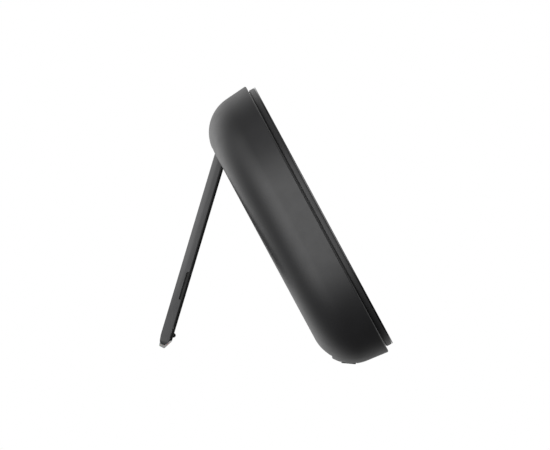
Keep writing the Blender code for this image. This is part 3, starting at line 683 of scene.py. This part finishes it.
def recess_edge():
    """The recess's edge from the scoop up one side, over the top and down the other side."""
    low = SCOOP_END + 2.2
    turn = (RECESS_HALF - RECESS_CORNER, RECESS_TOP - RECESS_CORNER)
    half = []
    for index in range(7):
        angle = math.radians(90 - 90 * index / 6)
        cos, sin = math.cos(angle), math.sin(angle)
        half.append((turn[0] + RECESS_CORNER * cos, turn[1] + RECESS_CORNER * sin, cos, sin))
    for index in range(1, 15):
        half.append((RECESS_HALF, turn[1] - (turn[1] - low) * index / 14, 1, 0))
    return [(-x, z, -out_x, out_z) for x, z, out_x, out_z in reversed(half)] + half


def recess_plan():
    """The recess seen from behind: small round corners at the top, larger ones at the scoop."""
    low = SCOOP_END - 4.0
    top_x, top_z = RECESS_HALF - RECESS_CORNER, RECESS_TOP - RECESS_CORNER
    foot_x, foot_z = RECESS_HALF - SCOOP_CORNER, low + SCOOP_CORNER
    points = arc((top_x, top_z), RECESS_CORNER, 0, 90, 6)
    points += arc((-top_x, top_z), RECESS_CORNER, 90, 180, 6)
    points += arc((-foot_x, foot_z), SCOOP_CORNER, 180, 270, 6)
    points += arc((foot_x, foot_z), SCOOP_CORNER, 270, 360, 6)
    return points


def slot_cutter(size, centre, edge, steps=8):
    """A round-ended cutter through the back whose mouth opens by a chamfer."""
    narrow = stadium(*size, steps)
    wide = stadium(size[0] + 2 * edge, size[1] + 2 * edge, steps)
    return stack([(narrow, BACK - 5.0), (narrow, BACK - edge), (wide, BACK), (wide, BACK + 2.0)], centre)


SPEAKERS = {name: local_box("speaker_basket_" + name, DISPLAY) for name in ("left", "right")}
PORT = local_box("usb_port", DISPLAY)
BUTTONS = ("power", "volume_up", "volume_down")


def middle(corners, *axes):
    return tuple((corners[0][axis] + corners[1][axis]) / 2 for axis in axes)


def grille_cutters():
    cutters = []
    for corners in SPEAKERS.values():
        x, z = middle(corners, 0, 2)
        for row in range(GRILLE_ROWS):
            up = z + (row - (GRILLE_ROWS - 1) / 2) * GRILLE_PITCH
            cutters.append(slot_cutter(GRILLE_SLOT, (x, up), GRILLE_CHAMFER, 5))
    return cutters


def button_cutters():
    cutters = []
    width, height = (size + BUTTON_GAP for size in BUTTON_SIZE)
    for name in BUTTONS:
        corners = local_box(name + "_button", DISPLAY)
        y, z = middle(corners, 1, 2)
        rings = []
        for x, grow in ((54.0, 0.0), (58.9, 0.0), (59.6, 0.8), (62.0, 0.8)):
            rings.append([(x, y + a, z + b) for a, b in stadium(width + grow, height + grow, 6)])
        cutters.append(loft(rings))
    return cutters


def pad_frame(along, down):
    return (
        CORNER_DEPTH + along * math.cos(LEAN) + down * math.sin(LEAN),
        CORNER_INSET - HALF + along * math.sin(LEAN) - down * math.cos(LEAN),
    )


def post_shapes():
    """Screw posts inside the housing, and their blind holes."""
    posts = [(place, CHASSIS_POST) for place in CHASSIS_PLACES]
    posts += [(place, RETAINER_POST) for place in RETAINER_PLACES]
    posts.append((PORT_POST_PLACE, PORT_POST))
    solids = []
    holes = []
    for place, (radius, low, high) in posts:
        post = circle(radius, 16)
        hole = circle(0.4 * radius, 10)
        solids.append(stack([(post, low), (post, high)], place))
        holes.append(stack([(hole, low - 1), (hole, min(low + POST_HOLE_LENGTH, POST_HOLE_END))], place))
    return solids, holes


def true_normals(made):
    """Sets the normals on the housing's outer surface from its formula, and leaves the rest."""
    mesh = made.data
    count = len(mesh.vertices)
    places = np.empty(count * 3)
    mesh.vertices.foreach_get("co", places)
    places = places.reshape(-1, 3) / MM
    insets, outward = foot_of(places[:, [0, 2]])
    depth = places[:, 1]
    sine = np.clip((depth - CORNER_DEPTH) / CORNER_RADIUS, math.sin(DRAFT), 1)
    cosine = np.sqrt(1 - sine ** 2)
    normals = np.stack([outward[:, 0] * cosine, sine, outward[:, 1] * cosine], 1)
    wall = (depth - WALL_START) * math.tan(DRAFT)
    surface = np.where(sine > math.sin(DRAFT), CORNER_INSET - CORNER_RADIUS * cosine, wall)
    on_surface = (np.abs(insets - surface) < 0.02) & (depth > WALL_START - 0.01)
    on_surface |= (np.abs(depth - BACK) < 0.005) & (insets > CORNER_INSET - 0.3)
    loops = len(mesh.loops)
    owner = np.empty(loops, np.int64)
    mesh.loops.foreach_get("vertex_index", owner)
    corner = np.empty(loops * 3)
    mesh.corner_normals.foreach_get("vector", corner)
    corner = corner.reshape(-1, 3)
    face_normal = np.empty((loops, 3))
    for polygon in mesh.polygons:
        face_normal[polygon.loop_start:polygon.loop_start + polygon.loop_total] = polygon.normal
    wanted = normals[owner]
    near = (face_normal * wanted).sum(1) > math.cos(math.radians(14))
    use = on_surface[owner] & near
    corner[use] = wanted[use]
    mesh.normals_split_custom_set(corner.tolist())


def take_shape(part):
    """The shape of a part that only served to cut with; the part itself goes."""
    points = [tuple(vertex.co / MM) for vertex in part.data.vertices]
    faces = [tuple(face.vertices) for face in part.data.polygons]
    bpy.data.objects.remove(part, do_unlink=True)
    return points, faces


def make_housing():
    made = new_object("housing_shell", housing_body(), DISPLAY)
    hollow = new_object("hollow", housing_hollow(), DISPLAY)
    tub = box((-TUB_HALF, TUB_FLOOR, TUB_ENDS[0]), (TUB_HALF, BACK + 3, TUB_ENDS[1]))
    combine(hollow, tub)
    combine(made, take_shape(hollow))
    posts, holes = post_shapes()
    combine(made, merge(posts), "UNION")
    recess = new_object("recess", bar(recess_profile(), -RECESS_HALF, RECESS_HALF), DISPLAY)
    combine(recess, stack([(recess_plan(), RECESS_FLOOR - 2), (recess_plan(), BACK + 8)]), "INTERSECT")
    combine(made, take_shape(recess))
    combine(made, chamfer_ring(recess_edge(), EDGE_CHAMFER))
    groove = rounded_box(*BUMPER_GROOVE, 1.2, 4)
    small = [stack([(groove, GROOVE_FLOOR), (groove, RECESS_FLOOR + 1)], (0, PIVOT.z - BUMPER_AT))]
    small += holes + grille_cutters() + button_cutters()
    small.append(slot_cutter(PORT_HOLE, middle(PORT, 0, 2), PORT_CHAMFER))
    opening = circle(MIC_RADIUS, 16)
    bore = [(PIVOT.y + y, PIVOT.z + z) for y, z in circle(PIN_HOLE, 16)]
    for side in (-1, 1):
        places = [(side * MIC_PLACE[0] + x, MIC_PLACE[1] + y) for x, y in opening]
        small.append(loft([[(x, y, z) for x, y in places] for z in MIC_SPAN]))
        small.append(bar(bore, *sorted(side * x for x in PIN_SPAN)))
    width, reach = (size / 2 + POCKET_GAP for size in PAD_SIZE)
    low, high = POCKET_SPAN
    pocket = [(-reach, low), (reach, low), (reach, high), (-reach, high)]
    small.append(bar([pad_frame(*point) for point in pocket], -width, width))
    combine(made, merge(small))
    smooth(made, 30)
    true_normals(made)
    finish_piece(made, "display", "housing_plastic", "rear_housing")


# Screen side -------------------------------------------------------------------------------------

def closed_ring(profile):
    """A ring through (inset, depth) points, following the panel's outline."""
    rings = []
    for inset, depth in profile:
        rings.append([(x, depth, z) for x, z in squircle(PANEL_HALF, inset)])
    return loft(rings, closed=True)


def make_front_frame():
    """A flange round the glass, a shallow groove behind it, and a rim that plugs into the housing."""
    front, back = FRAME[0].y, FRAME[1].y
    bond = GLASS[1].y
    fine, soft = FLANGE_ROUNDS
    seat = RIM - RIM_GAP
    profile = [(FRAME_INNER, bond), (FRAME_LEDGE, bond), (FRAME_LEDGE, front)]
    profile += [(fine - x, y) for x, y in arc((0.0, front + fine), fine, -90, 0, 4)]
    profile += [(soft - x, y) for x, y in arc((0.0, FLANGE_BACK - soft), soft, 0, 90, 4)]
    profile += [(GROOVE_DEPTH, FLANGE_BACK), (GROOVE_DEPTH, seat), (FRAME_STEP, seat)]
    profile += [(FRAME_STEP, back - FRAME_BEVEL), (FRAME_STEP + FRAME_BEVEL, back), (FRAME_INNER, back)]
    piece("front_frame_shell", closed_ring(profile), DISPLAY, "display", "frame_plastic", "front_frame")


def make_glass():
    """A flat sheet whose front edge is ground to a soft curve."""
    thick = GLASS[1].y
    levels = []
    for index in range(9):
        angle = math.pi / 2 * index / 8
        levels.append((GLASS_ROUND[0] * (1 - math.sin(angle)), GLASS_ROUND[1] * (1 - math.cos(angle))))
    levels += [(0.0, thick - GLASS_BEVEL), (GLASS_BEVEL, thick)]
    shape = stack([(squircle(PANEL_HALF, inset), depth) for inset, depth in levels])
    piece("glass_sheet", shape, DISPLAY, "display", "screen_glass", "cover_glass", angle=50)


# Kickstand, in stations along the leg: inner point, outer point, half width and corner radii -----

def station(inner, outer, half_width, outer_round, inner_round, steps=8):
    """A rounded rectangle between two (s, w) points; each rounding is (across, through)."""
    along = (outer[0] - inner[0], outer[1] - inner[1])
    height = math.hypot(*along)
    unit = (along[0] / height, along[1] / height)
    section = []
    corners = [
        (half_width - outer_round[0], height - outer_round[1], outer_round, 0),
        (outer_round[0] - half_width, height - outer_round[1], outer_round, 90),
        (inner_round[0] - half_width, inner_round[1], inner_round, 180),
        (half_width - inner_round[0], inner_round[1], inner_round, 270),
    ]
    for x, t, size, start in corners:
        for across, through in arc((0, 0), 1.0, start, start + 90, steps):
            section.append((x + size[0] * across, t + size[1] * through))
    ring = []
    for x, t in section:
        down = inner[0] + unit[0] * t
        out = inner[1] + unit[1] * t
        ring.append((x, out, -down))
    return ring


def meet(start, along, other, direction):
    cross = along[0] * direction[1] - along[1] * direction[0]
    gap = (other[0] - start[0], other[1] - start[1])
    share = (gap[0] * direction[1] - gap[1] * direction[0]) / cross
    return (start[0] + share * along[0], start[1] + share * along[1])


def tip_lines(end_gap, bevel_gap):
    """The leg's end face and its bevel, moved inwards: a point and a direction for each."""
    end_length = math.hypot(TIP_LENGTH - TIP_OUTER, TIP_FACE - TIP_LEVEL)
    end_along = ((TIP_OUTER - TIP_LENGTH) / end_length, (TIP_FACE - TIP_LEVEL) / end_length)
    bevel_length = math.hypot(TIP_LENGTH - BEVEL_START, LEG_HALF + TIP_LEVEL)
    bevel_along = ((BEVEL_START - TIP_LENGTH) / bevel_length, -(LEG_HALF + TIP_LEVEL) / bevel_length)
    end_start = (TIP_LENGTH - end_gap * end_along[1], TIP_LEVEL + end_gap * end_along[0])
    bevel_start = (TIP_LENGTH + bevel_gap * bevel_along[1], TIP_LEVEL - bevel_gap * bevel_along[0])
    return end_start, end_along, bevel_start, bevel_along


def on_bevel(level, gap):
    """Where the bevel, moved inwards by a gap, reaches a level across the leg."""
    _, _, start, along = tip_lines(0.0, gap)
    return meet(start, along, (0, level), (1, 0))


def tip_corners(end_gap, bevel_gap):
    """The tip moved inwards: its corner on the sloping outer face, and its point."""
    end_start, end_along, bevel_start, bevel_along = tip_lines(end_gap, bevel_gap)
    slope = (TIP_OUTER - SLOPE_START, TIP_FACE - LEG_HALF)
    outer = meet(end_start, end_along, (SLOPE_START, LEG_HALF), slope)
    point = meet(end_start, end_along, bevel_start, bevel_along)
    return outer, point


def outer_level(down):
    """The leg's outer face bends down gently over its last millimetres."""
    past = max(0.0, down - SLOPE_START) / (TIP_OUTER - SLOPE_START)
    return LEG_HALF - (LEG_HALF - TIP_FACE) * past ** 1.35


def blend_points(first, second, share):
    return tuple(a + (b - a) * share for a, b in zip(first, second))


def outer_edge(down):
    """The outer edges are generously rounded near the hinge, and fade to a fine edge lower down."""
    start, end = CROWN_FADE
    share = min(1.0, max(0.0, (down - start) / (end - start)))
    ease = share * share * (3 - 2 * share)
    return blend_points(CROWNED_EDGE, FINE_EDGE, ease)


def shrunk(size, amount):
    return tuple(max(0.05, value - amount) for value in size)


def side_width(down):
    """Half the leg's width, drawn in by round corners over the last millimetres before its tip."""
    corner = TIP_CORNER
    past = max(0.0, down - (TIP_LENGTH - corner))
    return LEG_WIDTH - (corner - math.sqrt(max(0.0, corner ** 2 - min(past, corner - 0.35) ** 2)))


def tip_stops(outer, point, inner, rounding):
    """Lines across the leg from inner towards its end, each with how far it has rounded off."""
    length = (point[0] + outer[0]) / 2 - inner[0]
    along, across = rounding
    steps = max(1, int((length - along) / 0.3))
    stops = [((1 - along / length) * index / steps, 0.0) for index in range(1, steps)]
    for index in range(8):
        angle = math.pi / 2 * index / 7
        stops.append((1 - along * (1 - math.sin(angle)) / length, across * (1 - math.cos(angle))))
    lines = []
    for share, shrink in stops:
        low = blend_points(inner, point, share)
        down = inner[0] + (outer[0] - inner[0]) * share
        high = (down, outer_level(down))
        size = math.dist(low, high)
        unit = ((high[0] - low[0]) / size, (high[1] - low[1]) / size)
        low = (low[0] + unit[0] * shrink, low[1] + unit[1] * shrink)
        high = (high[0] - unit[0] * shrink, high[1] - unit[1] * shrink)
        lines.append((low, high, shrink))
    return lines


def tip_rings(outer, point, inner, start, edge, rounding):
    """Stations from start to the tip: square, then turning along the bevel, then a rounded end."""
    rings = []
    for share in (0.0, 0.25, 0.5, 0.75, 0.999):
        down = start + (inner[0] - start) * share
        high = (down, outer_level(down))
        rings.append(station((down, inner[1]), high, side_width(down), edge, SEAM_EDGE))
    for low, high, shrink in tip_stops(outer, point, inner, rounding):
        width = side_width((low[0] + high[0]) / 2) - shrink
        rings.append(station(low, high, width, shrunk(edge, shrink), shrunk(SEAM_EDGE, shrink)))
    return rings


def leg_body_rings(end_gap, bevel_gap, rounding, edge):
    outer, point = tip_corners(end_gap, bevel_gap)
    inner = on_bevel(PLATE_FACE, bevel_gap)
    rings = []
    for index in range(1, 9):
        angle = math.pi / 2 * index / 8
        half = LEG_HALF * math.sin(angle)
        down = -LEG_HALF * math.cos(angle)
        share = half / LEG_HALF
        round_out = tuple(value * share * 0.8 for value in outer_edge(0))
        round_in = tuple(value * share for value in INNER_EDGE)
        rings.append(station((down, -half), (down, half), LEG_WIDTH, round_out, round_in))
    before = BARREL_END - 0.05
    rings.append(station((before, -LEG_HALF), (before, LEG_HALF), LEG_WIDTH, outer_edge(0), INNER_EDGE))
    count = 36
    for index in range(count + 1):
        down = BARREL_END + (SLOPE_START - BARREL_END) * index / count
        rings.append(station((down, PLATE_FACE), (down, LEG_HALF), LEG_WIDTH, outer_edge(down), SEAM_EDGE))
    rings += tip_rings(outer, point, inner, SLOPE_START + 0.2, edge, rounding)
    return rings


def window_cutter(side):
    """An opening in the leg's side, open at the plate, with small round corners and a bevelled rim."""
    centre = ((WINDOW_TOP - 4.0) / 2, -(WINDOW[0] + WINDOW[1]) / 2)
    rings = []
    for x, grow in ((20.0, 0.0), (LEG_WIDTH - 0.12, 0.0), (LEG_WIDTH + 0.08, 0.2), (24.5, 0.2)):
        outline = rounded_box(WINDOW_TOP + 4.0 + 2 * grow, WINDOW[1] - WINDOW[0] + 2 * grow, 0.4 + grow, 4)
        rings.append([(side * x, centre[0] + w, centre[1] + z) for w, z in outline])
    return loft(rings if side > 0 else rings[::-1])


def bumper_seat():
    outline = stadium(*BUMPER_SLOT)
    return stack([(outline, -4.0), (outline, BUMPER_FLOOR)], (0, -BUMPER_AT))


def make_leg_shell():
    made = new_object("leg_body", loft(leg_body_rings(FOOT_END, FOOT_BEVEL, TIP_ROUND, FINE_EDGE)), LEG)
    combine(made, box((-TRAY_HALF, -4.0, -TRAY_SPAN[1]), (TRAY_HALF, TRAY_FLOOR, -TRAY_SPAN[0])))
    cutters = []
    for side in (-1, 1):
        cutters.append(window_cutter(side))
        cutters.append(bar(circle(BUSH_BORE), *sorted(side * x for x in BUSH_SPAN)))
    combine(made, merge(cutters + [bumper_seat()]))
    smooth(made, 30)
    finish_piece(made, "kickstand", "leg_plastic", "leg_shell")


def make_foot():
    """The silicone cap: the leg's tip less what the shell fills, so it meets the shell's round end."""
    outer, point = tip_corners(0.0, 0.0)
    rings = tip_rings(outer, point, (BEVEL_START, -LEG_HALF), 70.0, (0.35, 0.35), (0.3, 0.3))
    made = new_object("foot_cap", loft(rings), LEG)
    gap = 0.03
    outer, point = tip_corners(FOOT_END - gap, FOOT_BEVEL - gap)
    inner = on_bevel(PLATE_FACE, FOOT_BEVEL - gap)
    lines = tip_stops(outer, point, inner, TIP_ROUND)
    toe = on_bevel(PLATE_TOE, FOOT_BEVEL - gap)
    outline = [(LEG_HALF + 1, -60.0), (LEG_HALF + 1, -outer[0] + 0.3), (outer[1] - 0.05, -outer[0] + 0.3)]
    outline += [(high[1], -high[0]) for _, high, _ in lines if high[0] > outer[0] - 0.28]
    outline += [(low[1], -low[0]) for low, _, _ in reversed(lines)]
    outline += [(inner[1], -inner[0]), (toe[1], -toe[0]), (-2.6, -BEVEL_START - 0.02), (-6.0, -60.0)]
    combine(made, bar(outline, -30.0, 30.0))
    smooth(made, 40)
    finish_piece(made, "kickstand", "foot_silicone", "leg_foot")


def make_leg_plate():
    """A thin cover with rounded sides that ends on a slant beside the foot and fills the windows."""
    low, high = PLATE
    face = PLATE_FACE - 0.005
    toe = on_bevel(PLATE_TOE, FOOT_BEVEL + 0.05)
    rings = []
    for index in range(9):
        angle = math.pi / 2 * index / 8
        inset = 0.9 * (1 - math.sin(angle))
        level = face - (face - low.y) * math.cos(angle)
        end = max(on_bevel(level, FOOT_BEVEL + 0.03)[0], toe[0] + 0.38 * (toe[1] - level))
        outline = rounded_box(high.x - low.x - 2 * inset, end - PLATE_START, 1.2, 5)
        rings.append([(x, level, z - (PLATE_START + end) / 2) for x, z in outline])
    made = new_object("leg_inner_plate", loft(rings), LEG)
    lip = rounded_box(42.2, 65.2, 0.8, 5)
    combine(made, stack([(lip, -1.8), (lip, -1.4)], (0, -38.9)), "UNION")
    parts = [box((-8.0, -2.3, -6.0), (8.0, -1.6, -3.42))]
    for side in (-1, 1):
        near, far = sorted((side * 20.4, side * 21.1))
        parts.append(box((near, -1.9, -WINDOW[1] - 0.9), (far, 0.15, -WINDOW[0] + 0.9)))
    combine(made, merge(parts), "UNION")
    tabs = []
    for side in (-1, 1):
        near, far = sorted((side * 20.6, side * 22.75))
        tabs.append(box((near, -1.9, -WINDOW[1] + 0.12), (far, -0.8, -WINDOW[0] - 0.12)))
    combine(made, merge(tabs), "UNION")
    combine(made, bumper_seat())
    smooth(made, 30)
    finish_piece(made, "kickstand", "black_plastic", "leg_plate")


def make_bumper():
    """A round rubber bar let into the leg, its ends domed."""
    low, high = BUMPER
    radius = (high.z - low.z) / 2 + 0.1
    crown = low.y + radius
    half = high.x
    rings = []
    for side in (-1, 1):
        for index in range(7):
            angle = math.pi / 2 * (index / 6 if side < 0 else 1 - index / 6)
            shrink = 0.45 * (1 - math.sin(angle))
            x = side * (half - 0.45 * (1 - math.cos(angle)))
            size = radius - shrink
            section = []
            for degrees in range(0, 181, 15):
                turn = math.radians(degrees)
                section.append((crown + size * -math.sin(turn), size * math.cos(turn)))
            section += [(high.y - shrink, -size), (high.y - shrink, size)]
            rings.append([(x, y, z - BUMPER_AT) for y, z in section])
    piece("bumper_bar", loft(rings), LEG, "kickstand", "black_rubber", "leg_bumper", angle=40)


# Small pieces ------------------------------------------------------------------------------------

def make_pad():
    levels = []
    bottom = CORNER_RADIUS + PAD_PROUD
    for grow, down in ((0.0, PAD_INNER), (0.0, bottom - 0.25), (-0.15, bottom - 0.07), (-0.45, bottom)):
        outline = rounded_box(PAD_SIZE[0] + grow, PAD_SIZE[1] + grow, 1.2, 6)
        levels.append([(x, *pad_frame(along, down)) for x, along in outline])
    piece("rest_pad_rubber", loft(levels), DISPLAY, "display", "black_rubber", "rest_pad", angle=25)


def make_buttons():
    """Button caps with a softened edge, a slight crown and a retaining flange."""
    for name in BUTTONS:
        node = name + "_button"
        low, high = local_box(node, DISPLAY)
        y, z = middle((low, high), 1, 2)
        levels = [(low.x, 1.6), (low.x + 0.8, 1.6), (low.x + 0.8, 0.0)]
        face = high.x
        for index in range(6):
            angle = math.pi / 2 * index / 5
            levels.append((face - 0.45 + 0.4 * math.sin(angle), -0.8 * (1 - math.cos(angle))))
        levels.append((face, -1.8))
        rings = []
        for x, grow in levels:
            outline = stadium(BUTTON_SIZE[0] + grow, BUTTON_SIZE[1] + grow)
            rings.append([(x, y + a, z + b) for a, b in outline])
        piece(node + "_cap", loft(rings), DISPLAY, node, "button_plastic", node, angle=40)


def make_port():
    low, high = PORT
    centre = middle(PORT, 0, 2)
    width, height = high.x - low.x, high.z - low.z
    wall = 0.7
    levels = [
        (stadium(width, height), low.y),
        (stadium(width, height), high.y - 0.15),
        (stadium(width - 0.2, height - 0.2), high.y),
        (stadium(width - wall + 0.15, height - wall + 0.15), high.y),
        (stadium(width - wall, height - wall), high.y - 0.1),
        (stadium(width - wall, height - wall), 20.5),
    ]
    made = new_object("port_shell", stack(levels, centre), DISPLAY)
    smooth(made, 40)
    finish_piece(made, "display", "steel", "usb_port")
    outline = rounded_box(6.6, 0.7, 0.25, 3)
    tongue = [(outline, 20.6), (outline, 25.0), (rounded_box(6.3, 0.4, 0.15, 3), 25.2)]
    piece("port_tongue", stack(tongue, centre), DISPLAY, "display", "black_plastic")
    contacts = []
    for index in range(12):
        x = centre[0] + (index - 5.5) * 0.5
        for side in (-1, 1):
            z = centre[1] + side * 0.365
            contacts.append(box((x - 0.13, 22.0, z - 0.03), (x + 0.13, 24.9, z + 0.03)))
    piece("port_contacts", merge(contacts), DISPLAY, "display", "steel", material=CONTACT_GOLD)


def make_dust_meshes():
    for name, corners in SPEAKERS.items():
        centre = middle(corners, 0, 2)
        outline = stadium(12.4, 28.0)
        shape = stack([(outline, 24.38), (outline, 24.56)], centre)
        piece("dust_mesh_" + name, shape, DISPLAY, "display", "black_plastic", material=DUST_MESH)


# Stage -------------------------------------------------------------------------------------------

PICTURE_WIDTH = 218.98
PICTURE_MIDDLE = Vector((0, 19.08, 5.83))
FRONT_LINE = math.radians(28.36)
CAMERA_AWAY = 1500.0


def make_camera():
    """A side view from -X without perspective, rolled so that the front leans by FRONT_LINE in it."""
    camera = bpy.data.objects.new("camera", bpy.data.cameras.new("camera"))
    bpy.context.scene.collection.objects.link(camera)
    camera.data.type = "ORTHO"
    camera.data.ortho_scale = PICTURE_WIDTH * MM
    camera.data.dof.use_dof = False
    facing = Vector((1, 0, 0)).to_track_quat("-Z", "Y").to_matrix().to_4x4()
    aim = DISPLAY @ (PICTURE_MIDDLE * MM)
    place = Matrix.Translation(aim - Vector((CAMERA_AWAY * MM, 0, 0)))
    camera.matrix_world = place @ facing @ Matrix.Rotation(LEAN - FRONT_LINE, 4, "Z")
    bpy.context.scene.camera = camera


def make_stage():
    mesh = bpy.data.meshes.new("floor")
    work = bmesh.new()
    bmesh.ops.create_grid(work, x_segments=2, y_segments=2, size=3.0)
    work.to_mesh(mesh)
    work.free()
    floor = bpy.data.objects.new("floor", mesh)
    bpy.context.scene.collection.objects.link(floor)
    floor.location = (0, 0, -0.0002)
    # The floor shows the object's shade, but throws no light or shade on it and isn't mirrored in it
    floor.visible_diffuse = False
    floor.visible_glossy = False
    floor.visible_transmission = False
    floor.visible_shadow = False
    nodes = Nodes("floor_paper")
    nodes.set(Base_Color=(0.82, 0.82, 0.82, 1), Roughness=0.9)
    nodes.set(Emission_Color=(1, 1, 1, 1), Emission_Strength=0.33)
    mesh.materials.append(nodes.material)


# Soft lights far off: where each one is, how tightly it gathers there, and how bright it is
AMBIENT = 0.045
SOFT_LIGHTS = {
    "key": ((-0.97, 0.20, -0.06), 12.0, 3.4),
    "key_side": ((-0.78, 0.58, -0.24), 12.0, 2.8),
    "behind": ((0.66, 0.72, -0.24), 4.4, 1.9),
    "front_wash": ((0.39, -0.62, 0.68), 1.2, 1.1),
    "top_edge": ((-0.35, 0.88, 0.34), 12.0, 1.4),
}


def make_world():
    """A white surround for the camera, and soft studio lights for everything else."""
    world = bpy.data.worlds.new("studio")
    bpy.context.scene.world = world
    world.use_nodes = True
    tree = world.node_tree
    tree.nodes.clear()
    place = tree.nodes.new("ShaderNodeTexCoord").outputs["Generated"]
    total = None
    for direction, focus, strength in SOFT_LIGHTS.values():
        facing = tree.nodes.new("ShaderNodeVectorMath")
        facing.operation = "DOT_PRODUCT"
        facing.inputs[1].default_value = Vector(direction).normalized()
        tree.links.new(place, facing.inputs[0])
        part = math_node(tree, "MAXIMUM", facing.outputs["Value"], 0.0)
        part = math_node(tree, "MULTIPLY", math_node(tree, "POWER", part, focus), strength)
        total = math_node(tree, "ADD", part, AMBIENT if total is None else total)
    glow = tree.nodes.new("ShaderNodeBackground")
    tree.links.new(total, glow.inputs["Strength"])
    white = tree.nodes.new("ShaderNodeBackground")
    white.inputs["Color"].default_value = (1, 1, 1, 1)
    switch = tree.nodes.new("ShaderNodeMixShader")
    rays = tree.nodes.new("ShaderNodeLightPath")
    tree.links.new(rays.outputs["Is Camera Ray"], switch.inputs["Fac"])
    tree.links.new(glow.outputs["Background"], switch.inputs[1])
    tree.links.new(white.outputs["Background"], switch.inputs[2])
    output = tree.nodes.new("ShaderNodeOutputWorld")
    tree.links.new(switch.outputs["Shader"], output.inputs["Surface"])


dress_cad_nodes()
make_housing()
make_front_frame()
make_glass()
make_leg_shell()
make_foot()
make_leg_plate()
make_bumper()
make_pad()
make_buttons()
make_port()
make_dust_meshes()
make_stage()
make_world()
make_camera()
bpy.context.scene.view_settings.view_transform = "Standard"
bpy.context.scene.view_settings.look = "None"
